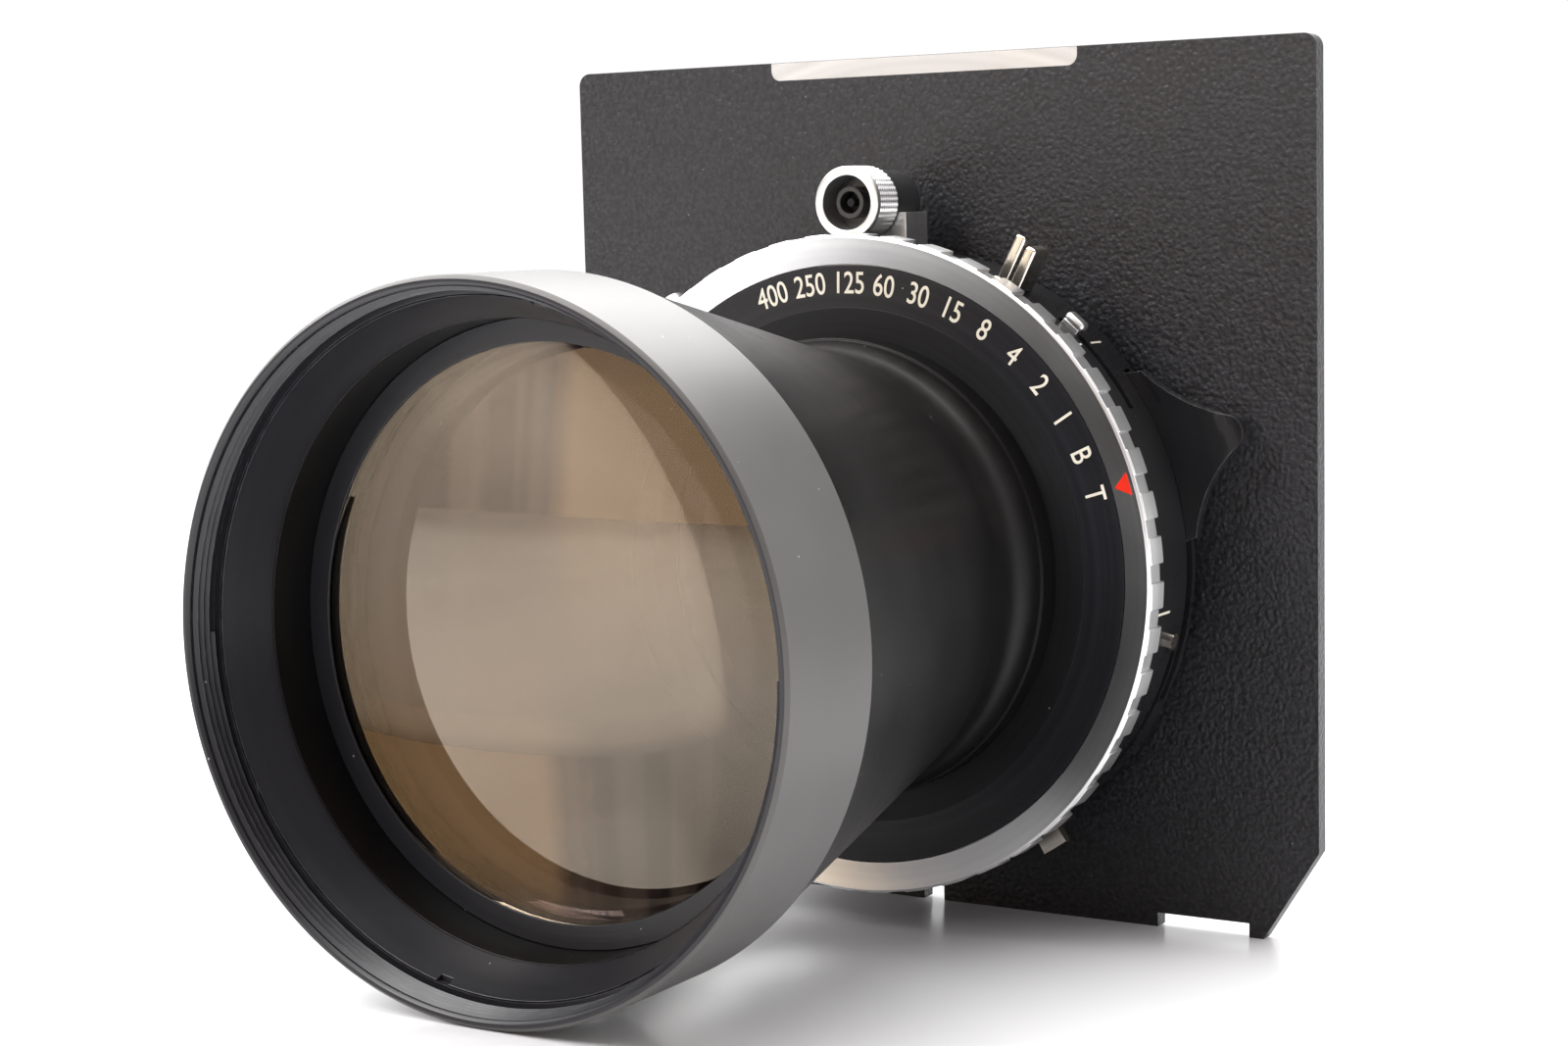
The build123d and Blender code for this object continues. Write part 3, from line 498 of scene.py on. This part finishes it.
nickel = finish(
    "bright nickel", grain, {"Grains per mm": 6.0}, (0.66, 0.61, 0.53), (0.76, 0.71, 0.63),
    (0.16, 0.26), metallic=1.0, bump=0.004)
steel = finish(
    "turned steel", machining, {"Lines per mm": 8.0}, (0.42, 0.42, 0.43), (0.55, 0.55, 0.56),
    (0.24, 0.36), metallic=1.0, bump=0.005)
brass = finish(
    "turned brass", machining, {"Lines per mm": 8.0}, (0.55, 0.40, 0.17), (0.70, 0.53, 0.26),
    (0.24, 0.36), metallic=1.0, bump=0.005)
plastic = finish(
    "black moulded plastic", grain, {"Grains per mm": 10.0}, (0.011, 0.011, 0.011), (0.02, 0.02, 0.02),
    (0.34, 0.46), bump=0.006, dusty=0.3)
blade_black = finish(
    "dull black blade", grain, {"Grains per mm": 12.0}, (0.014, 0.014, 0.014), (0.026, 0.026, 0.026),
    (0.42, 0.54), metallic=0.3, bump=0.003)
index_red = finish(
    "red enamel", grain, {"Grains per mm": 8.0}, (0.66, 0.022, 0.010), (0.80, 0.035, 0.016),
    (0.25, 0.35), bump=0.004, coat=0.4)
number_cream = finish(
    "cream engraving paint", grain, {"Grains per mm": 10.0}, (0.60, 0.56, 0.46), (0.74, 0.70, 0.60),
    (0.45, 0.6), bump=0.006)


# %% [markdown]
# ## Coated glass
# A coated element is clear, but each face throws back a faint tinted image of the room.
# Plain glass shows that reflection; tinting it gives the amber or mauve of an old single
# coating. The dirt on it is a slow change of roughness, nothing more.

# %% Coated glass
def coated_glass(name, tint, index, coating):
    material = bpy.data.materials.new(name)
    material.use_nodes = True
    tree = material.node_tree
    shader = tree.nodes["Principled BSDF"]
    film = placed_group(tree, grain, {"Grains per mm": 2.0, "Smudges per mm": 0.05})
    colour = blended(tree, film.outputs["Smudge"], tint, tuple(min(1, c * 1.04) for c in tint))
    tree.links.new(colour, shader.inputs["Base Color"])
    tree.links.new(span(tree, film.outputs["Smudge"], 0, 1, 0.0, 0.004), shader.inputs["Roughness"])
    shader.inputs["Metallic"].default_value = 0.0
    shader.inputs["Transmission Weight"].default_value = 1.0
    shader.inputs["IOR"].default_value = index
    shader.inputs["Specular Tint"].default_value = (*coating, 1)
    return material


amber_glass = coated_glass("amber coated glass", (0.86, 0.78, 0.68), 1.75, (1.0, 0.86, 0.68))
mauve_glass = coated_glass("mauve coated glass", (0.66, 0.60, 0.60), 1.35, (0.62, 0.52, 0.62))
print("finishes", len(bpy.data.materials))


# %% [markdown]
# ## The front band and its filter thread
# The band is a tube with a filter thread cut inside its mouth. The thread could be a
# bump, but at the rim its crests catch separate lines of light, so it is a real ridge:
# a small triangle spun round the axis while it moves back one pitch per turn.

# %% Band
band_r = radius_of("front_band")
band_front = front_of("front_band")
band_back = back_of("front_band")
thread_crest = band_r - 1.46
thread_root = thread_crest + 0.4
thread_pitch = 0.75
thread_back = front_of("front_baffle") - 0.1
baffle_seat_r = thread_crest - 0.4
band_bore = band_r - 2.51
baffle_seat_back = band_front + 5.75
rim_chamfer = 0.4
mouth_chamfer = 0.3
back_chamfer = 0.25
band = turned("front_band_skin", [
    (band_bore, band_back), (band_r - back_chamfer, band_back), (band_r, band_back - back_chamfer),
    (band_r, band_front + rim_chamfer), (band_r - rim_chamfer, band_front),
    (thread_root + mouth_chamfer, band_front), (thread_root, band_front + mouth_chamfer),
    (thread_root, thread_back), (baffle_seat_r, thread_back), (baffle_seat_r, baffle_seat_back),
    (band_bore, baffle_seat_back)], edge=0.05)
place(band, "lens", band_satin, "band_grey", "front_band")


# %% Filter thread
thread_turns = 3.5
steps_per_turn = 180
thread_sunk = 0.03
thread_flank = thread_pitch * 0.42
thread_front = band_front + mouth_chamfer
ridge = swept(
    [(thread_root + thread_sunk, thread_front), (thread_crest, thread_front + thread_flank),
     (thread_root + thread_sunk, thread_front + 2 * thread_flank)],
    math.tau * thread_turns, int(steps_per_turn * thread_turns), thread_pitch / steps_per_turn)
thread = to_object(ridge, "filter_thread", sharp=30)
place(thread, "lens", rim_black, "black_anodised")


# %% [markdown]
# ## The mouth of the band
# The outside of the band is satin grey, but its front face and its mouth are black. One
# skin can carry both: the faces inside the outer chamfer get the black finish.

# %% Black mouth
outer_share = 0.9
band.data.materials.append(rim_black)
for face in band.data.polygons:
    centre = face.center / MM
    if math.hypot(centre.x, centre.z) < band_r - rim_chamfer * outer_share:
        face.material_index = 1
print("black faces", sum(face.material_index for face in band.data.polygons))


# %% [markdown]
# ## The speed ring
# The ring has a dished chrome face, a plain lip and a side of flat lands with grooves
# between them. Cutting 48 grooves needs 48 boolean cuts; spinning one land and copying
# it round gives the same ring with clean faces.

# %% Ring body
ring_r = radius_of("speed_ring")
ring_front = front_of("speed_ring")
ring_back = back_of("speed_ring")
dial_step_front = front_of("dial_plate")
dial_step_rise = 0.15
dial_front = dial_step_front + dial_step_rise
groove_deep = 0.5
groove_floor = ring_r - groove_deep
lip_r = ring_r - 0.12
lip_back = ring_front + 0.5
land_start = ring_front + 0.35
dish_out = ring_r - 0.4
dish_in = radius_of("dial_plate") + 0.08
ring_bore = ring_r - 9.85
ring_wall_in = ring_r - 3.0
flange_back = ring_back - 1.1
flange_front = ring_back - 1.8
ring_body = turned("speed_ring_body", [
    (lip_r, ring_front + lip_r - dish_out), (dish_out, ring_front), (dish_in, dial_front),
    (dish_in, flange_front), (ring_bore, flange_front), (ring_bore, flange_back),
    (ring_wall_in, flange_back), (ring_wall_in, ring_back), (groove_floor, ring_back),
    (groove_floor, lip_back), (lip_r, lip_back)], edge=0.05)
place(ring_body, "speed_ring", chrome, "chrome", "speed_ring")


# %% Ring lands
groove_count = 48
groove_phase = 13.2
land_share = 0.6
land_foot = groove_floor - 0.1
land_rounding = 0.14
land_arc_steps = 4
land_turn = math.tau / groove_count * land_share
first_land = math.radians(groove_phase) + math.tau / groove_count * (1 - land_share) / 2


def land_block():
    corners = [
        (land_foot, land_start), (ring_r, land_start), (ring_r, ring_back), (land_foot, ring_back)]
    mesh = swept(corners, land_turn, land_arc_steps)
    round_edges(mesh, land_rounding, segments=3)
    turn(mesh, -first_land, "Y")
    return mesh


lands = land_block()
bmesh.ops.spin(
    lands, geom=lands.verts[:] + lands.edges[:] + lands.faces[:], cent=(0, 0, 0), axis=(0, 1, 0),
    dvec=(0, 0, 0), angle=math.tau * (groove_count - 1) / groove_count, steps=groove_count - 1,
    use_merge=False, use_duplicate=True)
ring_lands = to_object(lands, "speed_ring_lands")
place(ring_lands, "speed_ring", chrome, "chrome")


# %% Red index on the dished face
dish_slope = (dial_front - ring_front) / (dish_out - dish_in)
index_angle = 16.7
index_reach = 1.45
index_thick = 0.05
index_gap = 0.35
index_rounding = 0.015
index_r = dish_in + index_gap + index_reach
index_y = dial_front - (index_r - dish_in) * dish_slope + 0.01


def red_index():
    """A three-sided plate that lies on the dished face and points at the dial."""
    mesh = bmesh.new()
    bmesh.ops.create_circle(mesh, cap_ends=True, segments=3, radius=index_reach * MM)
    grown = bmesh.ops.extrude_face_region(mesh, geom=mesh.faces[:])
    raised = [item for item in grown["geom"] if isinstance(item, bmesh.types.BMVert)]
    bmesh.ops.translate(mesh, verts=raised, vec=(0, 0, index_thick * MM))
    turn(mesh, math.radians(90), "X")
    turn(mesh, math.radians(-90), "Y")
    turn(mesh, -math.atan(dish_slope), "Z")
    bmesh.ops.translate(mesh, verts=mesh.verts, vec=(index_r * MM, index_y * MM, 0))
    turn(mesh, -math.radians(index_angle), "Y")
    bmesh.ops.recalc_face_normals(mesh, faces=mesh.faces)
    round_edges(mesh, index_rounding)
    return to_object(mesh, "speed_index_plate")


place(red_index(), "speed_ring", index_red, "red_paint", "speed_index")


# %% [markdown]
# ## The dial
# The dial is one flat ring with a low step: satin where the numbers stand, and inside the
# step a darker black, painted shade where the barrel darkens the dial. Two pieces could be
# stacked, but one lathe outline keeps the step's corner crisp, and its inner faces simply
# take the painted shade.

# %% Dial
dial_r = radius_of("dial_plate")
dial_back = back_of("dial_plate")
dial_step_r = 28.8
dial_bore = 21.35
dial = turned("dial_face", [
    (dial_bore, dial_back), (dial_r, dial_back), (dial_r, dial_front), (dial_step_r, dial_front),
    (dial_step_r, dial_step_front), (dial_bore, dial_step_front)], edge=0.04)
place(dial, "lens", dial_black, "dial_black", "dial_plate")
# Faces inside the step take the darker black, painted shade where the barrel darkens the dial.
dial.data.materials.append(painted_shade_black)
for face in dial.data.polygons:
    if face.center.y < (dial_front - dial_step_rise / 4) * MM:
        face.material_index = 1


# %% [markdown]
# ## Numbers and marks
# The speeds are engraved and filled with cream paint. They could be a drawn texture,
# but letters made as thin plates stay crisp at any distance. Each is turned so that its
# top points away from the lens axis.

# %% Lettering helper
capital_share = 0.7
letter_squeeze = 0.8
letter_swell = 0.008
paint_thick = 0.04


def lettered(name, text, tall):
    """Flat text in the XZ plane that faces -Y, its middle at the origin, as a mesh."""
    curve = bpy.data.curves.new(name, "FONT")
    curve.body = text
    curve.size = tall / capital_share * MM
    curve.extrude = paint_thick / 2 * MM
    curve.align_x = "CENTER"
    curve.align_y = "CENTER"
    curve.offset = letter_swell * tall * MM
    curve.resolution_u = 6
    holder = bpy.data.objects.new(name, curve)
    bpy.context.scene.collection.objects.link(holder)
    bpy.context.view_layer.update()
    data = bpy.data.meshes.new_from_object(holder)
    bpy.data.objects.remove(holder)
    data.transform(Matrix.Diagonal((letter_squeeze, 1, 1, 1)))
    data.transform(Matrix.Rotation(math.radians(90), 4, "X"))
    data.name = name
    return data


def mark(name, data):
    piece = bpy.data.objects.new(name, data)
    bpy.context.scene.collection.objects.link(piece)
    return place(piece, "lens", number_cream, "dial_black")


# %% Shutter speeds
speeds = ["T", "B", "1", "2", "4", "8", "15", "30", "60", "125", "250", "400"]
speed_first = 16.6
speed_step = 8.02
widest_from = 9
widest_extra = 1.15
number_r = 31.4
number_tall = 2.4
number_y = dial_front - 0.015
for count, speed in enumerate(speeds):
    angle = speed_first + count * speed_step + widest_extra * max(0, count - widest_from)
    data = lettered("speed_" + speed, speed, number_tall)
    data.transform(Matrix.Translation((0, number_y * MM, number_r * MM)))
    data.transform(Matrix.Rotation(math.radians(90 - angle), 4, "Y"))
    mark("speed_" + speed, data)


# %% Aperture scale on the side of the housing
housing_r = radius_of("shutter_housing")
side_r = housing_r + 0.01


def side_mark(name, data, angle, y):
    """Stand a flat mark on the housing's side, its top toward the front of the lens."""
    data.transform(Matrix.Rotation(math.radians(90), 4, "X"))
    data.transform(Matrix.Translation((0, y * MM, side_r * MM)))
    data.transform(Matrix.Rotation(math.radians(90 - angle), 4, "Y"))
    mark(name, data)


apertures = ["8", "11", "16", "22", "32", "45", "64"]
aperture_first = -56.0
aperture_step = 6.0
aperture_tall = 1.5
aperture_y = -12.9
tick_thick = 0.03
tick_rounding = 0.008
for count, number in enumerate(apertures):
    angle = aperture_first + count * aperture_step
    name = "aperture_" + number
    side_mark(name, lettered(name, number, aperture_tall), angle, aperture_y)


def tick(wide, tall):
    mesh = bmesh.new()
    bmesh.ops.create_cube(mesh, size=1)
    bmesh.ops.scale(mesh, vec=(wide * MM, tick_thick * MM, tall * MM), verts=mesh.verts)
    soften(mesh, mesh.edges[:], tick_rounding, segments=1)
    data = bpy.data.meshes.new("tick")
    mesh.to_mesh(data)
    mesh.free()
    return data


# Each tick's name, width, height, angle round the housing, and y.
ticks = [
    ("speed_tick_1", 0.28, 1.3, 30.5, -2.3),
    ("speed_tick_2", 0.28, 1.3, 22.3, -2.3),
    ("speed_tick_3", 0.28, 1.3, 14.7, -2.3),
    ("aperture_index_tick", 0.28, 6.4, -7.6, -11.6),
    ("upper_index_tick_front", 0.24, 2.0, 44.8, -10.2),
    ("upper_index_tick_back", 0.24, 2.6, 44.8, -5.6),
]
for count in range(len(apertures)):
    angle = aperture_first + count * aperture_step
    ticks.append((f"aperture_tick_{count + 1}", 0.22, 1.0, angle, -11.2))
for name, wide, tall, angle, y in ticks:
    side_mark(name, tick(wide, tall), angle, y)


# %% [markdown]
# ## The flash socket's collar
# The collar is a short tube with a knurled grip. A knurl can be a bump pattern, but its
# points show on the outline, so each square of the side is poked into a small pyramid.

# %% Knurled collar
low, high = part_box("flash_collar")
socket_x = (low.x + high.x) / 2 / MM
socket_z = (low.z + high.z) / 2 / MM
collar_r = (high.x - low.x) / 2 / MM
collar_front = low.y / MM
collar_back = high.y / MM
collar_bore = collar_r - 1.05
knurl_rise = 0.16
knurl_count = 40
knurl_rows = 8
knurl_start = collar_front + 0.9
grip_r = collar_r - knurl_rise
collar_lip_r = collar_r - 0.05
collar_lip_back = knurl_start - 0.15
collar_rounding = 0.18


def knurled_collar():
    rows = [knurl_start + (collar_back - knurl_start) * n / knurl_rows for n in range(knurl_rows + 1)]
    outline = [
        (collar_bore, collar_back), (collar_bore, collar_front), (collar_lip_r, collar_front),
        (collar_lip_r, collar_lip_back)]
    outline += [(grip_r, y) for y in rows]
    mesh = spun(outline, knurl_count)
    grip = []
    for face in mesh.faces:
        middle = face.calc_center_median() / MM
        if math.hypot(middle.x, middle.z) > grip_r - 0.1 and middle.y > knurl_start:
            if abs(face.normal.y) < 0.5:
                grip.append(face)
    poked = bmesh.ops.poke(mesh, faces=grip)
    for vert in poked["verts"]:
        out = Vector((vert.co.x, 0, vert.co.z)).normalized()
        vert.co += out * knurl_rise * MM
    front_edges = []
    for edge in mesh.edges:
        if max(vert.co.y for vert in edge.verts) < (knurl_start - 0.1) * MM:
            if len(edge.link_faces) == 2 and edge.calc_face_angle(0) > 1:
                front_edges.append(edge)
    soften(mesh, front_edges, collar_rounding, segments=3)
    bmesh.ops.translate(mesh, verts=mesh.verts, vec=(socket_x * MM, 0, socket_z * MM))
    return to_object(mesh, "flash_collar_knurled", sharp=22)


place(knurled_collar(), "lens", chrome, "chrome", "flash_collar")


# %% [markdown]
# ## The release lever
# The lever is a nickel sheet folded into two fingers that stand side by side above the
# ring. Bending a thin sheet with modifiers would do, but rounded bars give the same
# outline and their soft corners catch the light the way a polished fold does.

# %% Folded release lever
def barred(name, bars, front, angle):
    """A lever of rounded bars at an angle round the lens.

    Each bar is two corners and a rounding; a corner is (outward, back from front, sideways).
    """
    mesh = bmesh.new()
    for low_corner, high_corner, rounding in bars:
        made = bmesh.ops.create_cube(mesh, size=1)["verts"]
        size = [(high - low) * MM for low, high in zip(low_corner, high_corner)]
        middle = [(high + low) / 2 * MM for low, high in zip(low_corner, high_corner)]
        bmesh.ops.scale(mesh, vec=size, verts=made)
        bmesh.ops.translate(mesh, vec=Vector(middle) + Vector((0, front * MM, 0)), verts=made)
        edges = dict.fromkeys(edge for vert in made for edge in vert.link_edges)
        soften(mesh, list(edges), rounding, segments=4)
    turn(mesh, -math.radians(angle), "Y")
    return to_object(mesh, name)


lever_angle = 62.0
lever_tip = housing_r + 6.0
lever_foot = housing_r + 0.6
lever_root = housing_r - 9.6
lever_bars = [
    ((lever_root, 0, -1.4), (lever_foot, 1.0, 1.4), 0.12),
    ((lever_foot - 0.7, 0, 0.15), (lever_tip, 0.9, 1.4), 0.3),
    ((lever_foot - 0.7, 0.35, -1.4), (lever_tip - 0.7, 4.2, -0.05), 0.38),
    ((lever_foot - 0.9, -0.25, 0.3), (lever_foot + 0.2, 0.6, 1.7), 0.25),
    ((lever_foot - 0.9, -0.05, -1.6), (lever_foot + 0.1, 0.8, -0.3), 0.25),
]
folded_lever = barred("release_lever_folded", lever_bars, front_of("release_lever"), lever_angle)
place(folded_lever, "release", nickel, "bright_nickel", "release_lever")


# %% Rounded pad of the preview lever
pad_angle = 49.0
pad_front = front_of("preview_lever")
pad_deep = back_of("preview_lever") - pad_front
pad_bars = [
    ((housing_r - 4.1, 0, -1.1), (housing_r + 0.5, 1.0, 1.1), 0.1),
    ((housing_r + 0.3, 0, -1.3), (housing_r + 1.4, pad_deep, 1.3), 0.48),
]
preview_pad = barred("preview_lever_pad", pad_bars, pad_front, pad_angle)
place(preview_pad, "leaf_ring", chrome, "bright_nickel", "preview_lever")


# %% [markdown]
# ## The bare strip
# Where the camera's lock slides over the board the paint is left off. A mask in the
# paint would blur at its edge, so the strip is its own thin plate of bare metal, let
# into the board.

# %% Bare strip at the top of the board
board_low, board_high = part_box("lens_board")
strip_wide = 40.0
strip_tall = 2.1
strip_thick = 0.1
strip_lift = 0.04
strip_corner = 1.1
strip_inset = 0.05


def bare_strip():
    mesh = bmesh.new()
    bmesh.ops.create_cube(mesh, size=1)
    bmesh.ops.scale(mesh, vec=(strip_wide * MM, strip_thick * MM, strip_tall * MM), verts=mesh.verts)
    corners = []
    for edge in mesh.edges:
        one, two = edge.verts
        if one.co.z < 0 and two.co.z < 0 and abs(one.co.y - two.co.y) > strip_thick / 2 * MM:
            corners.append(edge)
    soften(mesh, corners, strip_corner, segments=8)
    middle_z = board_high.z - (strip_tall / 2 + strip_inset) * MM
    middle = Vector((0, (strip_thick / 2 + strip_lift) * MM, middle_z))
    bmesh.ops.translate(mesh, verts=mesh.verts, vec=middle)
    return to_object(mesh, "bare_strip")


place(bare_strip(), "lens", bare_metal, "board_crinkle_black")


# %% [markdown]
# ## The glasses
# A lens element is two shallow domes and a rim. A mesh cut into loose triangles shimmers
# like leather when it bends light, so each element is turned anew as rings of quads. A
# dome is told by its edge and its bulge, how far its middle stands forward of the edge.

# %% Lens elements
dome_steps = 18
glass_steps = 160
glass_edge = 0.12


def dome(radius, edge, bulge):
    """Points of one surface, (radius, y) from the axis out to the edge."""
    curve = (radius ** 2 + bulge ** 2) / (2 * abs(bulge))
    points = []
    for step in range(dome_steps + 1):
        out = radius * step / dome_steps
        rise = math.sqrt(curve ** 2 - out ** 2) - (curve - abs(bulge))
        points.append((out, edge - math.copysign(rise, bulge)))
    return points


def glass_element(node, front_bulge, back_bulge, material):
    radius = radius_of(node)
    front_edge = front_of(node) + max(0, front_bulge)
    back_edge = back_of(node) + min(0, back_bulge)
    outline = dome(radius, front_edge, front_bulge) + dome(radius, back_edge, back_bulge)[::-1]
    mesh = spun(outline, glass_steps, closed=False)
    round_edges(mesh, glass_edge)
    piece = to_object(mesh, node + "_polished")
    piece.modifiers.clear()
    place(piece, "lens", material, "coated_glass", node)


# Each element's node, the bulge of its front and of its back, and its coating.
elements = [
    ("front_glass_1", 3.66, -1.07, amber_glass),
    ("front_glass_2", -2.66, -1.32, mauve_glass),
    ("front_glass_3", 3.54, 2.32, mauve_glass),
    ("rear_glass_1", -1.8, -1.3, mauve_glass),
    ("rear_glass_2", -1.5, -1.5, amber_glass),
]
for element in elements:
    glass_element(*element)


# %% [markdown]
# ## The pieces that keep their shape
# Every other piece is dressed as it stands. Each line of this table is one finish, the
# width of its rounded edges in millimetres, and the pieces that get it.

# %% Dress the rest
dressing = [
    (crinkle_black, 0.15, ["lens_board"]),
    (rim_black, 0.06, ["front_baffle", "front_retainer", "dial_nut", "rear_retainer", "flange_nut"]),
    (matt_black, 0.05, ["glass_spacer", "inner_retainer", "rear_spacer", "blade_divider"]),
    (housing_black, 0.12, ["shutter_housing", "front_cover"]),
    (barrel_black, 0.12, ["front_barrel", "rear_barrel"]),
    (gloss_black, 0.3, ["cocking_lever"]),
    (nickel, 0.12, ["aperture_lever", "side_screw"]),
    (plastic, 0.04, ["flash_sleeve"]),
    (chrome, 0.1, ["flash_bracket", "cable_socket"]),
    (plastic, 0.15, ["flash_boss", "flash_insulator"]),
    (steel, 0.05, ["cocking_ring", "cocking_pin", "spring_post", "release_shaft", "cover_screws"]),
    (steel, 0, ["main_spring", "iris_pivot_pins", "leaf_pivot_pins", "speed_cam"]),
    (brass, 0.05, ["works_plate"]),
    # The flash pin takes the darker black, painted shade inside the collar over its own metal.
    (painted_shade_black, 0.02, ["flash_pin"]),
    (brass, 0, ["iris_drive_ring", "leaf_drive_ring"]),
    (blade_black, 0, [name for name in nodes if name.startswith(("iris_blade", "shutter_leaf"))]),
]
for recipe, edge, names in dressing:
    for name in names:
        dress(name, recipe, edge)
    print(recipe.name, names)


# %% [markdown]
# ## The table
# The lens lies on the front edge of its band and the bottom edge of its board, so the
# table is tilted against the lens axis. The table is placed by those two edges.

# %% Table
rest_back = Vector((0, 0, board_low.z))
rest_front = Vector((0, (band_front + rim_chamfer) * MM, -band_r * MM))
tilt = math.atan2(rest_front.z - rest_back.z, rest_back.y - rest_front.y)
table_size = 6.0
table_mesh = bmesh.new()
bmesh.ops.create_grid(table_mesh, x_segments=8, y_segments=8, size=table_size / 2)
turn(table_mesh, -tilt, "X")
bmesh.ops.translate(table_mesh, verts=table_mesh.verts, vec=rest_back)
table = to_object(table_mesh, "table")
table.modifiers.clear()
pale = bpy.data.materials.new("pale table")
pale.use_nodes = True
pale_shader = pale.node_tree.nodes["Principled BSDF"]
pale_smudge = placed_group(pale.node_tree, grain, {"Grains per mm": 1.0, "Smudges per mm": 0.01})
pale_colour = blended(
    pale.node_tree, pale_smudge.outputs["Smudge"], (0.78, 0.78, 0.79), (0.81, 0.81, 0.82))
pale_rough = span(pale.node_tree, pale_smudge.outputs["Smudge"], 0, 1, 0.16, 0.22)
pale.node_tree.links.new(pale_colour, pale_shader.inputs["Base Color"])
pale.node_tree.links.new(pale_rough, pale_shader.inputs["Roughness"])
table.data.materials.append(pale)
print("table tilt", round(math.degrees(tilt), 2))


# %% [markdown]
# ## Light
# The studio is a white tent: bright behind, above and to the right of the lens. The room
# shows in front, as a warm wall and, to its left, grey upright bands. Panels alone would
# show as hard squares in the glass, so most of the light comes from the tent, whose
# colour is worked out from the direction. Two panels, above and front left, add to it.

# %% Tent of light
world = bpy.data.worlds.new("white studio")
bpy.context.scene.world = world
world.use_nodes = True
tent = world.node_tree
room = tent.nodes["Background"]
toward = tent.nodes.new("ShaderNodeSeparateXYZ")
tent.links.new(tent.nodes.new("ShaderNodeTexCoord").outputs["Generated"], toward.inputs[0])
behind_glow = span(tent, toward.outputs["Y"], -0.25, 0.35, 0.0, 1.0)
above_glow = span(tent, toward.outputs["Z"], 0.3, 0.9, 0.0, 1.2)
wall_left = span(tent, toward.outputs["X"], -0.58, -0.53, 0.0, 1.0)
wall_right = span(tent, toward.outputs["X"], 0.10, 0.25, 1.0, 0.0)
wall_top = span(tent, toward.outputs["Z"], 0.28, 0.45, 1.0, 0.0)
wall_sides = maths(tent, "MULTIPLY", wall_left, wall_right)
wall_mask = maths(tent, "MULTIPLY", wall_sides, wall_top)
upright = tent.nodes.new("ShaderNodeCombineXYZ")
tent.links.new(toward.outputs["X"], upright.inputs["X"])
bands = span(tent, noise(tent, upright.outputs[0], 16.0, 2.0), 0.40, 0.60)
dark_band, pale_band = (0.07, 0.06, 0.07), (0.46, 0.41, 0.42)
warm_wall = (1.95, 1.46, 0.96)
tent_white = (1.03, 1.03, 1.03)
band_tint = blended(tent, bands, dark_band, pale_band)
front_tint = blended(tent, wall_mask, band_tint, warm_wall)
tent_tint = blended(tent, behind_glow, front_tint, tent_white)
right_glow = span(tent, toward.outputs["X"], 0.2, 0.9, 0.0, 0.9)
strength = maths(tent, "ADD", maths(tent, "ADD", above_glow, right_glow), 1.0)
tent.links.new(tent_tint, room.inputs["Color"])
tent.links.new(strength, room.inputs["Strength"])
print("tent nodes", len(tent.nodes))


# %% Overhead panel and front left panel
def panel(name, place_at, aim_at, wide, tall, power):
    light = bpy.data.lights.new(name, "AREA")
    light.shape = "RECTANGLE"
    light.size = wide
    light.size_y = tall
    light.energy = power
    lamp = bpy.data.objects.new(name, light)
    lamp.location = place_at
    lamp.rotation_euler = (Vector(aim_at) - Vector(place_at)).to_track_quat("-Z", "Y").to_euler()
    bpy.context.scene.collection.objects.link(lamp)
    print(name, "watts", power)


panel("overhead panel", (-0.25, 0.15, 0.75), (0, -0.04, 0), wide=1.5, tall=1.5, power=31)
panel("front left panel", (-0.45, -0.65, 0.68), (0, -0.06, 0), wide=0.4, tall=0.4, power=8)
bpy.context.scene.view_settings.view_transform = "Standard"
bpy.context.scene.view_settings.exposure = 0.0


# %% [markdown]
# ## Camera
# The camera stands to the right of the lens and a little above it. It is set by its place,
# the direction it looks from and its roll, so each can be changed alone.

# %% Camera
camera_place = Vector((155.86, -283.55, 38.94)) * MM
azimuth = math.radians(31.77)
elevation = math.radians(6.29)
roll = math.radians(-1.39)
behind = Vector((
    math.sin(azimuth) * math.cos(elevation), -math.cos(azimuth) * math.cos(elevation),
    math.sin(elevation)))
level_right = Vector((0, 0, 1)).cross(behind).normalized()
level_up = behind.cross(level_right)
right = level_right * math.cos(roll) + level_up * math.sin(roll)
up = level_up * math.cos(roll) - level_right * math.sin(roll)
camera_data = bpy.data.cameras.new("camera")
camera_data.lens = 63.81
camera_data.sensor_width = 36
camera_data.clip_start = 0.01
camera = bpy.data.objects.new("camera", camera_data)
camera_turn = Matrix((right, up, behind)).transposed().to_4x4()
camera.matrix_world = Matrix.Translation(camera_place) @ camera_turn
bpy.context.scene.collection.objects.link(camera)
bpy.context.scene.camera = camera
print("camera", [round(value, 3) for value in camera_place], "lens", camera_data.lens)
